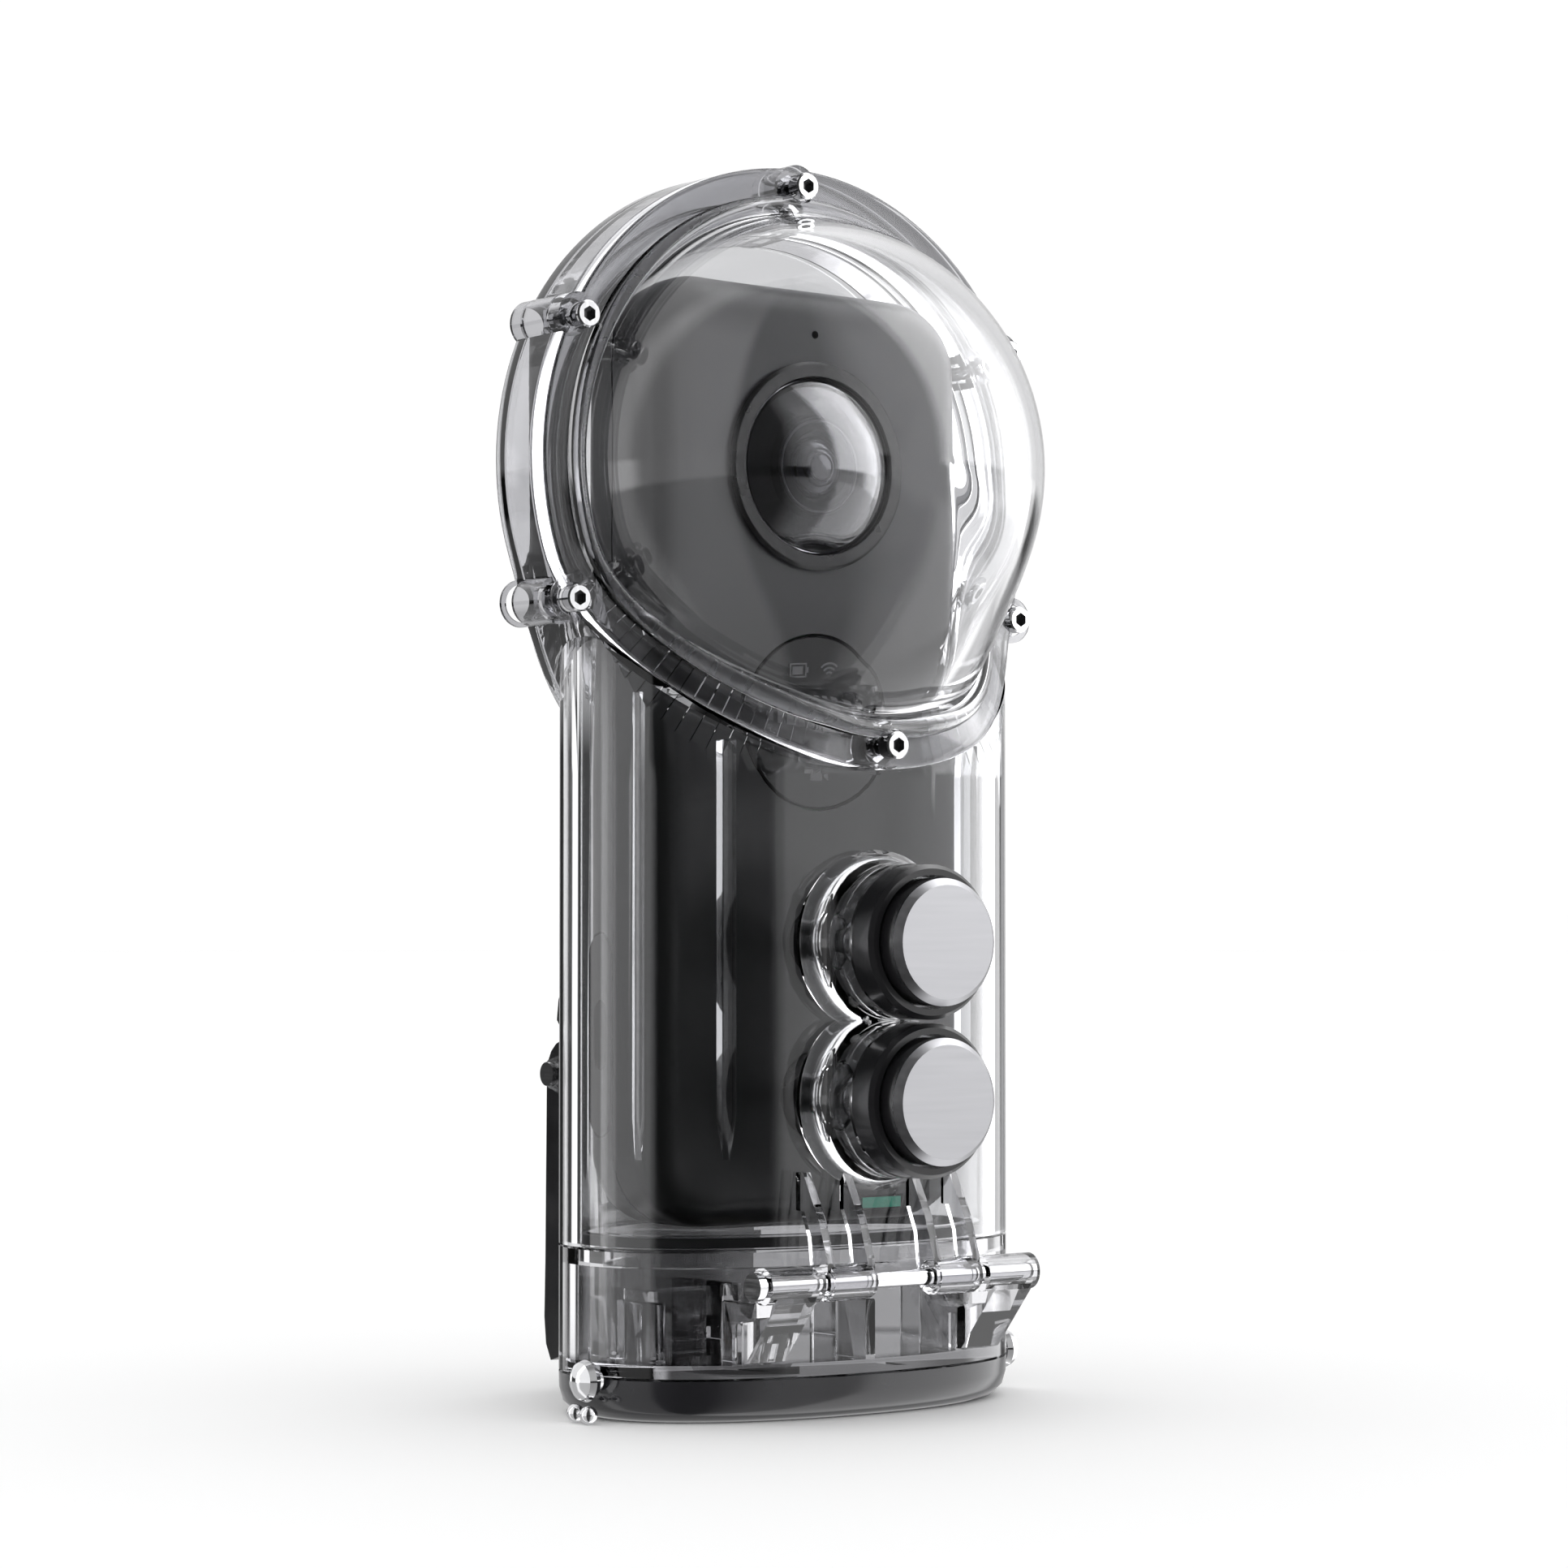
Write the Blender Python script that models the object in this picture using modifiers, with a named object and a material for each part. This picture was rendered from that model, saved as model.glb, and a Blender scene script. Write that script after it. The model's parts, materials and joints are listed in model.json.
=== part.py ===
"""Action camera with two back-to-back fisheye lenses, sealed in a clear dive housing.

The camera is a slab with a lens on each face. The housing is an oval tube that ends in a round
head with a dome on each side. A lid on a front hinge closes the bottom, a lever latch at the
back holds it shut, and two sprung plungers in front reach the camera's buttons.

Lengths are millimetres here and are scaled to metres when a mesh is made. Shapes are described
with x across, q forward (the front is world -Y) and z up, from the tube's axis at the base.
"""
import math

import bmesh
import bpy
from mathutils import Matrix, Vector

MM = 0.001
GAP = 0.3                      # clearance kept between touching pieces

# ---------------------------------------------------------------- driving dimensions (mm)
AXIS_SHIFT = -0.99             # world Y of the tube's axis, which centres the whole object

TUBE_HALF_WIDTH = 30.5
TUBE_HALF_DEPTH = 18.6
TUBE_POWER = 2.2               # superellipse exponent of the tube's section
TUBE_WALL = 2.8
SEAM_Z = 20.2                  # where the lid meets the tube
BASE_TOP_Z = 5.1

HEAD_Z = 115.0                 # height of the lens axis and of the head's centre
FLANGE_RADIUS = 37.4
DOME_RADIUS = 31.5             # where a dome's outer face meets its flange
DOME_WALL = 1.8
FLANGE_THICK = 2.4

CAMERA_Q = -2.3                # middle plane of the camera slab
CAMERA_HALF_THICK = 8.3
CAMERA_HALF_WIDTH = 24.0
CAMERA_BOTTOM = 22.4
CAMERA_TOP = 137.4
LENS_PROUD = 5.0

BUTTON_Z = {"upper": 56.9, "lower": 38.1}
BUTTON_FACE_Q = 32.4

HINGE_Q = 22.7
HINGE_Z = 16.8

LATCH_PIVOT_Q = -26.9
LATCH_PIVOT_Z = 40.0
LATCH_HALF_WIDTH = 15.0


class Cover:
    """Sizes of one domed cover; q is measured away from the tube's axis, towards its own side."""

    def __init__(self, side, centre_q, height, face_q, step, ramp_start, ramp_end):
        self.side = side                # +1 faces the front, -1 the back
        self.centre_q = centre_q        # plane of the dome's equator
        self.height = height            # apex above that plane
        self.face_q = face_q            # flange face at the top and sides
        self.step = step                # how far the flange moves out to clear the tube's wall
        self.ramp_start = math.radians(ramp_start)
        self.ramp_end = math.radians(ramp_end)

    def flange_face(self, angle):
        """Flange face for an angle round the head, 0 at the bottom."""
        share = (self.ramp_start - abs(angle)) / (self.ramp_start - self.ramp_end)
        share = min(1.0, max(0.0, share))
        return self.face_q + self.step * share * share * (3.0 - 2.0 * share)


FRONT = Cover(side=1, centre_q=0.5, height=32.0, face_q=2.4, step=18.2, ramp_start=72, ramp_end=13)
REAR = Cover(side=-1, centre_q=3.5, height=31.0, face_q=8.5, step=13.0, ramp_start=72, ramp_end=12)

# ---------------------------------------------------------------- scene and collections

for stale in list(bpy.data.objects):
    bpy.data.objects.remove(stale, do_unlink=True)

parts = bpy.data.collections.new("action_camera")
cutters = bpy.data.collections.new("cutters")
bpy.context.scene.collection.children.link(parts)
bpy.context.scene.collection.children.link(cutters)

assembly = bpy.data.objects.new("assembly", None)
assembly.location = (0.0, AXIS_SHIFT * MM, 0.0)
parts.objects.link(assembly)


def make_material(name, colour, roughness, metallic=0.0, transmission=0.0):
    """A Principled material with one colour."""
    material = bpy.data.materials.new(name)
    material.use_nodes = True
    shader = material.node_tree.nodes["Principled BSDF"]
    shader.inputs["Base Color"].default_value = (*colour, 1.0)
    shader.inputs["Roughness"].default_value = roughness
    shader.inputs["Metallic"].default_value = metallic
    shader.inputs["Transmission Weight"].default_value = transmission
    material.diffuse_color = (*colour, 1.0)
    return material


CLEAR = make_material("clear_polycarbonate", (0.93, 0.94, 0.96), 0.03, transmission=1.0)
CHROME = make_material("polished_steel", (0.82, 0.82, 0.83), 0.10, metallic=1.0)
CAP_METAL = make_material("brushed_aluminium", (0.62, 0.62, 0.65), 0.32, metallic=1.0)
BLACK = make_material("black_plastic", (0.02, 0.02, 0.022), 0.38)
SMOKE = make_material("smoked_base", (0.05, 0.05, 0.055), 0.25)
RUBBER = make_material("seal_rubber", (0.78, 0.78, 0.80), 0.5)
BLACK_RUBBER = make_material("black_rubber", (0.02, 0.02, 0.022), 0.6)
BODY = make_material("camera_body", (0.075, 0.075, 0.08), 0.45)
TRIM = make_material("camera_trim", (0.03, 0.03, 0.033), 0.3)
GLASS = make_material("lens_glass", (0.25, 0.25, 0.28), 0.02, transmission=0.6)
DISPLAY = make_material("display_glass", (0.03, 0.03, 0.035), 0.08)
BRASS = make_material("insert_brass", (0.70, 0.55, 0.28), 0.3, metallic=1.0)
GREEN = make_material("status_green", (0.02, 0.45, 0.30), 0.2)
BOARD = make_material("circuit_board", (0.02, 0.10, 0.05), 0.5)
CELL = make_material("battery_wrap", (0.08, 0.09, 0.12), 0.5)

# ---------------------------------------------------------------- mesh helpers


def point(x, q, z):
    """World-parallel position, in metres, of a place given by x, q and z."""
    return Vector((x, -q, z)) * MM


def link(obj, material):
    """Put a finished piece in the assembly."""
    parts.objects.link(obj)
    obj.parent = assembly
    obj.data.materials.clear()
    obj.data.materials.append(material)
    return obj


def shade(obj, angle=35.0):
    """Smooth shading with edges sharper than the angle kept crisp."""
    obj.data.shade_smooth()
    obj.data.set_sharp_from_angle(angle=math.radians(angle))
    return obj


def object_from(name, bm):
    """A new object from a bmesh whose coordinates are already metres."""
    bmesh.ops.recalc_face_normals(bm, faces=bm.faces)
    mesh = bpy.data.meshes.new(name)
    bm.to_mesh(mesh)
    bm.free()
    return bpy.data.objects.new(name, mesh)


def add_block(bm, x_range, q_range, z_range):
    """A box between two corners, added to a bmesh."""
    size = [b - a for a, b in (x_range, q_range, z_range)]
    middle = [(a + b) / 2.0 for a, b in (x_range, q_range, z_range)]
    place = Matrix.Translation(point(*middle)) @ Matrix.Diagonal((*(Vector(size) * MM), 1.0))
    bmesh.ops.create_cube(bm, size=1.0, matrix=place)


def add_rod(bm, axis, start, end, radius, sides=24, end_radius=None):
    """A cylinder or cone along one axis ('x', 'q' or 'z') between two places."""
    low, high = point(*start), point(*end)
    turn = {"x": Matrix.Rotation(math.pi / 2, 4, "Y"),
            "q": Matrix.Rotation(math.pi / 2, 4, "X"),
            "z": Matrix.Identity(4)}[axis]
    place = Matrix.Translation((low + high) / 2.0) @ turn
    far_radius = radius if end_radius is None else end_radius
    bmesh.ops.create_cone(bm, cap_ends=True, segments=sides, radius1=radius * MM,
                          radius2=far_radius * MM, depth=(high - low).length, matrix=place)


def block(name, *ranges):
    """A loose box object."""
    bm = bmesh.new()
    add_block(bm, *ranges)
    return object_from(name, bm)


def rod(name, *args, **kwargs):
    """A loose cylinder object."""
    bm = bmesh.new()
    add_rod(bm, *args, **kwargs)
    return object_from(name, bm)


def flat_outline(name, outline, along, low, high):
    """A closed outline extruded along 'x', 'q' or 'z'; its points are the other two coordinates."""
    order = {"x": lambda a, b, c: (c, a, b), "q": lambda a, b, c: (a, c, b),
             "z": lambda a, b, c: (a, b, c)}[along]
    bm = bmesh.new()
    rings = [[bm.verts.new(point(*order(a, b, level))) for a, b in outline] for level in (low, high)]
    count = len(outline)
    bm.faces.new(rings[0])
    bm.faces.new(rings[1])
    for i in range(count):
        j = (i + 1) % count
        bm.faces.new((rings[0][i], rings[0][j], rings[1][j], rings[1][i]))
    return object_from(name, bm)


# these pieces take dozens of cuts, which the exact solver leaves with open edges
MANY_CUTS = ("housing_body", "front_dome", "rear_dome", "bottom_lid")


def boolean(target, tool, operation):
    """Cut or join a target with another object, which becomes a hidden cutter."""
    if tool.name not in cutters.objects:
        cutters.objects.link(tool)
        tool.parent = assembly
        tool.hide_render = True
        tool.display_type = "WIRE"
    modifier = target.modifiers.new(tool.name, "BOOLEAN")
    modifier.operation = operation
    modifier.object = tool
    modifier.solver = "MANIFOLD" if target.name in MANY_CUTS else "EXACT"


def cut(target, *tools):
    for tool in tools:
        boolean(target, tool, "DIFFERENCE")


def join(target, *tools):
    for tool in tools:
        boolean(target, tool, "UNION")


def round_edges(obj, width, segments=2, angle=40.0):
    modifier = obj.modifiers.new("rounded", "BEVEL")
    modifier.width = width * MM
    modifier.segments = segments
    modifier.limit_method = "ANGLE"
    modifier.angle_limit = math.radians(angle)


def turned(name, profile, x, q, z, steps=32, facing="front"):
    """A turned piece: profile points are (radius, height), the height running towards 'facing'."""
    doubled_area = sum(a[0] * b[1] - b[0] * a[1] for a, b in zip(profile, profile[1:] + profile[:1]))
    if doubled_area > 0.0:              # the outer side has to run downwards
        profile = profile[::-1]
    mesh = bpy.data.meshes.new(name)
    verts = [(radius * MM, 0.0, height * MM) for radius, height in profile]
    closed = profile[0][0] > 0.0 and profile[-1][0] > 0.0
    edges = [(i, i + 1) for i in range(len(verts) - 1)]
    if closed:
        edges.append((len(verts) - 1, 0))
    mesh.from_pydata(verts, edges, [])
    obj = bpy.data.objects.new(name, mesh)
    screw = obj.modifiers.new("turned", "SCREW")
    screw.steps = steps
    screw.render_steps = steps
    screw.use_merge_vertices = True
    screw.merge_threshold = 0.00001
    angles = {"front": (math.pi / 2, 0, 0), "back": (-math.pi / 2, 0, 0), "up": (0, 0, 0),
              "right": (0, math.pi / 2, 0), "left": (0, -math.pi / 2, 0)}
    obj.rotation_euler = angles[facing]
    obj.location = point(x, q, z)
    return obj


def superellipse(half_width, half_depth, count, power=TUBE_POWER):
    """Outline points (x, q) of the tube's oval section."""
    outline = []
    for i in range(count):
        angle = 2.0 * math.pi * i / count
        c, s = math.cos(angle), math.sin(angle)
        outline.append((half_width * math.copysign(abs(c) ** (2.0 / power), c),
                        half_depth * math.copysign(abs(s) ** (2.0 / power), s)))
    return outline


def oval(name, inset, low, high, count=48):
    """An oval prism of the tube's section, moved in by 'inset'."""
    outline = superellipse(TUBE_HALF_WIDTH - inset, TUBE_HALF_DEPTH - inset, count)
    return flat_outline(name, outline, "z", low, high)


def loft(name, sections):
    """A closed solid through equal-length closed outlines of (x, q, z) points."""
    bm = bmesh.new()
    rings = [[bm.verts.new(point(*p)) for p in section] for section in sections]
    count = len(rings[0])
    bm.faces.new(rings[0])
    bm.faces.new(rings[-1])
    for lower, upper in zip(rings, rings[1:]):
        for i in range(count):
            j = (i + 1) % count
            bm.faces.new((lower[i], lower[j], upper[j], upper[i]))
    return object_from(name, bm)


# ---------------------------------------------------------------- head shapes
SEAL_INNER = 31.0
SEAL_OUTER = 32.1
HEAD_STEPS = 48


def around_head(radius, angle, q):
    """A place on the head: angle 0 is straight down, growing towards +X."""
    return (radius * math.sin(angle), q, HEAD_Z - radius * math.cos(angle))


def signed_angles(count):
    return [-math.pi + 2.0 * math.pi * i / count for i in range(count)]


def split_quad(bm, a, b, c, d):
    """Two triangles with the diagonal a-c, so that facing surfaces share the same creases."""
    bm.faces.new((a, b, c))
    bm.faces.new((a, c, d))


def head_band(name, radii, back_q, front_q, steps=HEAD_STEPS):
    """A washer round the head, on rings of the given radii; both faces are functions of the angle."""
    bm = bmesh.new()
    rings = []
    for face, order in ((front_q, radii[::-1]), (back_q, radii)):
        for radius in order:
            rings.append([bm.verts.new(point(*around_head(radius, a, face(a))))
                          for a in signed_angles(steps)])
    for this, following in zip(rings, rings[1:] + rings[:1]):
        for i in range(steps):
            j = (i + 1) % steps
            split_quad(bm, this[i], following[i], following[j], this[j])
    return object_from(name, bm)


def dome_profile(cover, angle, wall, count):
    """(radius, q) points from the apex to the rim, on the outside (wall 0) or the inside."""
    rim = DOME_RADIUS - wall
    height = cover.height - wall
    face = cover.flange_face(angle) - (FLANGE_THICK if wall else 0.0)
    rise = max(0.0, (face - cover.centre_q) / height)
    reach = rim / math.sqrt(1.0 - rise * rise)
    last = math.asin(min(1.0, rim / reach))
    profile = []
    for i in range(1, count + 1):
        turn = last * i / count
        profile.append((reach * math.sin(turn), cover.centre_q + height * math.cos(turn)))
    return profile, face


def domed_cover(name, cover, steps=HEAD_STEPS, rings=4):
    """A dome and its flange in one piece; the flange bends out to pass over the tube's wall."""
    bm = bmesh.new()
    columns = []
    for angle in signed_angles(steps):
        outer, face = dome_profile(cover, angle, 0.0, rings)
        inner, contact = dome_profile(cover, angle, DOME_WALL, rings)
        section = outer + [(DOME_RADIUS + 1.0, face), (FLANGE_RADIUS - 0.5, face),
                           (FLANGE_RADIUS, face - 0.5), (FLANGE_RADIUS, contact)]
        seal_lines = (SEAL_OUTER, SEAL_INNER) if cover is FRONT else ()
        section += [(r, contact) for r in (*seal_lines, DOME_RADIUS - DOME_WALL)]
        if inner[-1][1] < contact + 0.05:
            inner[-1] = (inner[-1][0] - 0.02, contact + 0.05)
        section += inner[::-1]
        columns.append([bm.verts.new(point(*around_head(r, angle, cover.side * q)))
                        for r, q in section])
    tips = [bm.verts.new(point(0.0, cover.side * (cover.centre_q + height), HEAD_Z))
            for height in (cover.height, cover.height - DOME_WALL)]
    for i in range(steps):
        here, beside = columns[i], columns[(i + 1) % steps]
        bm.faces.new((tips[0], here[0], beside[0]))
        bm.faces.new((tips[1], here[-1], beside[-1]))
        for k in range(len(here) - 1):
            split_quad(bm, here[k], here[k + 1], beside[k + 1], beside[k])
    return object_from(name, bm)


# ---------------------------------------------------------------- fasteners of the head
SCREW_HEAD_RADIUS = 1.65
SCREW_HEAD_HEIGHT = 2.0
SCREW_SHANK_RADIUS = 0.85
BOSS_RADIUS = 2.9
STEP = 0.05                    # a boss's ends lie this much below the faces it stands in
NUT_RADIUS = 1.9
NUT_THICK = 1.8
NUT_POCKET_RADIUS = 2.3
SCREW_PLACES = [(0.0, 35.0), (32.3, 16.6), (33.6, -17.3), (0.0, -34.6), (-33.6, -17.3), (-32.3, 16.6)]
LOWEST = SCREW_PLACES[3]
SCREW_SPAN = 6.2               # head face to nut centre


def screw_angle(place):
    return math.atan2(place[0], -place[1])


def is_lowest(place):
    return place == LOWEST


def screw_seat(place):
    """q under a screw's head: five sit in one plane, the lowest on the stepped-out flange."""
    face = FRONT.face_q + FRONT.step if is_lowest(place) else FRONT.face_q
    return face + GAP


def span_of(curve, place):
    """Lowest and highest value of a flange curve across a boss."""
    middle = screw_angle(place)
    reach = BOSS_RADIUS / FLANGE_RADIUS * 1.2
    values = [curve(middle + share * reach) for share in (-1.0, -0.5, 0.0, 0.5, 1.0)]
    return min(values), max(values)


def hex_socket(name, across, axis_place, depth):
    """A six-sided cutter entering from the front."""
    x, q, z = axis_place
    return rod(name, "q", (x, q - depth, z), (x, q + 1.0, z), across / math.sqrt(3), sides=6)


def make_screws():
    for number, place in enumerate(SCREW_PLACES, start=1):
        x, z, seat = place[0], HEAD_Z + place[1], screw_seat(place)
        length = SCREW_SPAN - SCREW_HEAD_HEIGHT + 0.6
        profile = [(0.0, SCREW_HEAD_HEIGHT), (SCREW_HEAD_RADIUS - 0.2, SCREW_HEAD_HEIGHT),
                   (SCREW_HEAD_RADIUS, SCREW_HEAD_HEIGHT - 0.2), (SCREW_HEAD_RADIUS, 0.0),
                   (SCREW_SHANK_RADIUS, 0.0), (SCREW_SHANK_RADIUS, 0.2 - length),
                   (SCREW_SHANK_RADIUS - 0.2, -length), (0.0, -length)]
        screw = turned(f"flange_screw_{number}", profile, x, seat, z, steps=14)
        cut(screw, hex_socket(f"socket_{number}", 1.6, (x, seat + SCREW_HEAD_HEIGHT, z), 1.1))
        link(screw, CHROME)

        middle = seat + SCREW_HEAD_HEIGHT - SCREW_SPAN
        low, high = middle - NUT_THICK / 2, middle + NUT_THICK / 2
        nut = rod(f"flange_nut_{number}", "q", (x, low, z), (x, high, z), NUT_RADIUS, sides=6)
        bore = rod(f"nut_bore_{number}", "q", (x, low - 1, z), (x, high + 1, z), 1.1, sides=12)
        cut(nut, bore)
        link(nut, CHROME)


def screw_holes(tag, radius):
    """Clearance holes for the shanks, through everything."""
    holes = []
    for number, place in enumerate(SCREW_PLACES, start=1):
        x, z, seat = place[0], HEAD_Z + place[1], screw_seat(place)
        holes.append(rod(f"{tag}_{number}", "q", (x, seat - 5.6, z), (x, seat + 3, z), radius, sides=16))
    return holes


def nut_pockets(tag):
    """Round pockets from the back for five nuts; the lowest nut's pocket is cut from the front."""
    pockets = []
    for number, place in enumerate(SCREW_PLACES, start=1):
        x, z, seat = place[0], HEAD_Z + place[1], screw_seat(place)
        middle = seat + SCREW_HEAD_HEIGHT - SCREW_SPAN
        if is_lowest(place):
            reach = (middle - NUT_THICK / 2 - GAP, seat - FLANGE_THICK - GAP / 2)
        else:
            reach = (-25.0, middle + NUT_THICK / 2 + GAP)
        pockets.append(rod(f"{tag}_{number}", "q", (x, reach[0], z), (x, reach[1], z),
                           NUT_POCKET_RADIUS, sides=20))
    return pockets


def bosses(tag, low_of, high_of, places=SCREW_PLACES):
    """Round bosses about the screws that stand past the flange's edge."""
    made = []
    for number, place in enumerate(places, start=1):
        x, z = place[0], HEAD_Z + place[1]
        made.append(rod(f"{tag}_{number}", "q", (x, low_of(place), z), (x, high_of(place), z),
                        BOSS_RADIUS, sides=20))
    return made


def front_contact(angle):
    """Back of the front cover's flange."""
    return FRONT.flange_face(angle) - FLANGE_THICK


def rear_contact(angle):
    """Front of the rear cover's flange, as q."""
    return -(REAR.flange_face(angle) - FLANGE_THICK)


def make_front_dome():
    cover = domed_cover("front_dome", FRONT)
    join(cover, *bosses("front_boss", lambda p: span_of(front_contact, p)[1] + STEP,
                        lambda p: span_of(FRONT.flange_face, p)[0] - STEP))
    for number, place in enumerate(SCREW_PLACES, start=1):
        x, z, seat = place[0], HEAD_Z + place[1], screw_seat(place)
        cut(cover, rod(f"spot_face_{number}", "q", (x, seat - GAP, z), (x, seat + 5, z), 2.0, sides=20))
    cut(cover, *screw_holes("front_hole", 1.15))
    link(shade(cover), CLEAR)


def make_rear_dome():
    cover = domed_cover("rear_dome", REAR)
    upper = [p for p in SCREW_PLACES if not is_lowest(p)]
    join(cover, *bosses("rear_boss", lambda p: -span_of(REAR.flange_face, p)[0] + STEP,
                        lambda p: span_of(rear_contact, p)[0] - STEP, upper))
    cut(cover, *[p for p in nut_pockets("rear_pocket") if not p.name.endswith("_4")])
    link(shade(cover), CLEAR)


SEAL_DEPTH = 1.0


def make_dome_seal():
    seal = head_band("dome_seal", [SEAL_INNER, SEAL_OUTER], lambda a: front_contact(a) - SEAL_DEPTH,
                     lambda a: front_contact(a) - GAP)
    link(shade(seal), RUBBER)


# ---------------------------------------------------------------- housing
BUTTON_BOSS_RADIUS = 9.3
BUTTON_BOSS_Q = 25.4
BUTTON_BORE_RADIUS = 7.9
BUTTON_FLOOR_Q = 20.6
STEM_RADIUS = 1.5
KNUCKLES = [(-11.4, -4.4), (4.4, 11.4)]
KNUCKLE_RADIUS = 2.2
EYE_CORE = 1.95                # radius of the ribs and arms inside the eyes
PIN_RADIUS = 0.95
PIN_HOLE_RADIUS = 1.3
LATCH_PIN_RADIUS = 1.0
LUG_RADIUS = 1.9
LUG_THICK = 1.7
RAIL_HALF_WIDTH = 4.0


def rib_outline():
    """Side view (q, z) of one hinge rib, from the tube's wall to the hinge's eye."""
    outline = [(16.6, 29.6), (19.0, 29.6), (22.2, 24.0), (23.9, 19.2)]
    for i in range(9):
        angle = math.radians(50 - 225 * i / 8)
        outline.append((HINGE_Q + EYE_CORE * math.cos(angle), HINGE_Z + EYE_CORE * math.sin(angle)))
    outline += [(20.0, 22.0), (18.6, 25.0), (16.6, 25.2)]
    return outline


def upper_cavity():
    """The tube's hollow inside the head, kept a wall's thickness behind both flanges."""
    middle = -3.0
    hollow = head_band("upper_cavity", [0.5, 48.5],
                       lambda a: min(rear_contact(a) + GAP + TUBE_WALL, middle - 0.2),
                       lambda a: max(front_contact(a) - GAP - TUBE_WALL, middle + 0.2))
    boolean(hollow, oval("upper_oval", TUBE_WALL, 60.0, HEAD_Z), "INTERSECT")
    return hollow


def lug_outline():
    """Side view (q, z) of a latch lug, round at the pivot."""
    outline = [(-12.0, LATCH_PIVOT_Z - 6.0), (-12.0, LATCH_PIVOT_Z + 6.0)]
    for i in range(9):
        angle = math.radians(90 + 180 * i / 8)
        outline.append((LATCH_PIVOT_Q + LUG_RADIUS * math.cos(angle),
                        LATCH_PIVOT_Z + LUG_RADIUS * math.sin(angle)))
    return outline


def make_housing():
    body = oval("housing_body", 0.0, SEAM_Z + GAP, 104.0)
    join(body, head_band("head_ring", [0.5, FLANGE_RADIUS], lambda a: rear_contact(a) - 2.0,
                         lambda a: front_contact(a) + 2.0))
    for tag, height in BUTTON_Z.items():
        join(body, rod(f"boss_{tag}", "q", (0, 12, height), (0, BUTTON_BOSS_Q, height),
                       BUTTON_BOSS_RADIUS, sides=32))
        join(body, rod(f"foot_{tag}", "q", (0, 16, height), (0, 19.9, height), 11.3, sides=32,
                       end_radius=9.0))
    for number, (low, high) in enumerate(KNUCKLES, start=1):
        join(body, rod(f"eye_{number}", "x", (low + 0.5, HINGE_Q, HINGE_Z), (high - 0.5, HINGE_Q, HINGE_Z),
                       KNUCKLE_RADIUS, sides=24))
        for side, edge in enumerate((low, high), start=1):
            inner = edge + (1.1 if side == 1 else -1.1)
            join(body, flat_outline(f"rib_{number}_{side}", rib_outline(), "x", min(edge, inner),
                                    max(edge, inner)))
    for side in (-1, 1):
        low, high = sorted((side * (LATCH_HALF_WIDTH + 0.4), side * (LATCH_HALF_WIDTH + 0.4 + LUG_THICK)))
        join(body, flat_outline(f"lug_{side}", lug_outline(), "x", low, high))
    join(body, block("lock_rail", (-RAIL_HALF_WIDTH, RAIL_HALF_WIDTH), (-21.4, -17.0), (47.0, 58.0)))

    cut(body, oval("cavity", TUBE_WALL, 0.0, HEAD_Z - FLANGE_RADIUS - 0.6))
    cut(body, upper_cavity())
    cut(body, slab("camera_passage", GAP + 0.1))
    lens = CAMERA_HALF_THICK + LENS_PROUD + GAP
    cut(body, block("lens_passage", (-13.6, 13.6), (CAMERA_Q - lens, CAMERA_Q + lens), (70.0, HEAD_Z)))
    cut(body, rod("head_opening", "q", (0, -50, HEAD_Z), (0, 50, HEAD_Z), DOME_RADIUS - DOME_WALL, sides=48))
    far = 60.0
    radii = [0.5, DOME_RADIUS - DOME_WALL, SEAL_INNER, SEAL_OUTER, FLANGE_RADIUS, FLANGE_RADIUS + 0.35]
    cut(body, head_band("over_front", radii, lambda a: front_contact(a) - GAP, lambda a: far))
    radii = [0.5, DOME_RADIUS - DOME_WALL, FLANGE_RADIUS, FLANGE_RADIUS + 0.35]
    cut(body, head_band("over_rear", radii, lambda a: -far, lambda a: rear_contact(a) + GAP))
    join(body, *bosses("ring_boss",
                       lambda p: 13.2 if is_lowest(p) else span_of(rear_contact, p)[1] + GAP + STEP,
                       lambda p: span_of(front_contact, p)[0] - GAP - STEP))
    cut(body, head_band("seal_groove", [SEAL_INNER - GAP, SEAL_OUTER + GAP],
                        lambda a: front_contact(a) - SEAL_DEPTH - GAP, lambda a: far))
    cut(body, *screw_holes("ring_hole", 1.15))
    cut(body, *nut_pockets("ring_pocket"))
    for tag, height in BUTTON_Z.items():
        cut(body, rod(f"bore_{tag}", "q", (0, BUTTON_FLOOR_Q, height), (0, 40, height),
                      BUTTON_BORE_RADIUS, sides=32))
        join(body, rod(f"guide_{tag}", "q", (0, BUTTON_FLOOR_Q - 1, height), (0, 22.6, height), 3.0, sides=24))
        cut(body, rod(f"stem_hole_{tag}", "q", (0, 5, height), (0, 40, height), STEM_RADIUS + 0.3, sides=24))
    cut(body, rod("hinge_bore", "x", (-20, HINGE_Q, HINGE_Z), (20, HINGE_Q, HINGE_Z), PIN_HOLE_RADIUS,
                  sides=16))
    reach = LATCH_HALF_WIDTH + 5.0
    cut(body, rod("latch_bore", "x", (-reach, LATCH_PIVOT_Q, LATCH_PIVOT_Z),
                  (reach, LATCH_PIVOT_Q, LATCH_PIVOT_Z), LATCH_PIN_RADIUS + GAP, sides=16))
    link(shade(body), CLEAR)


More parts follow.
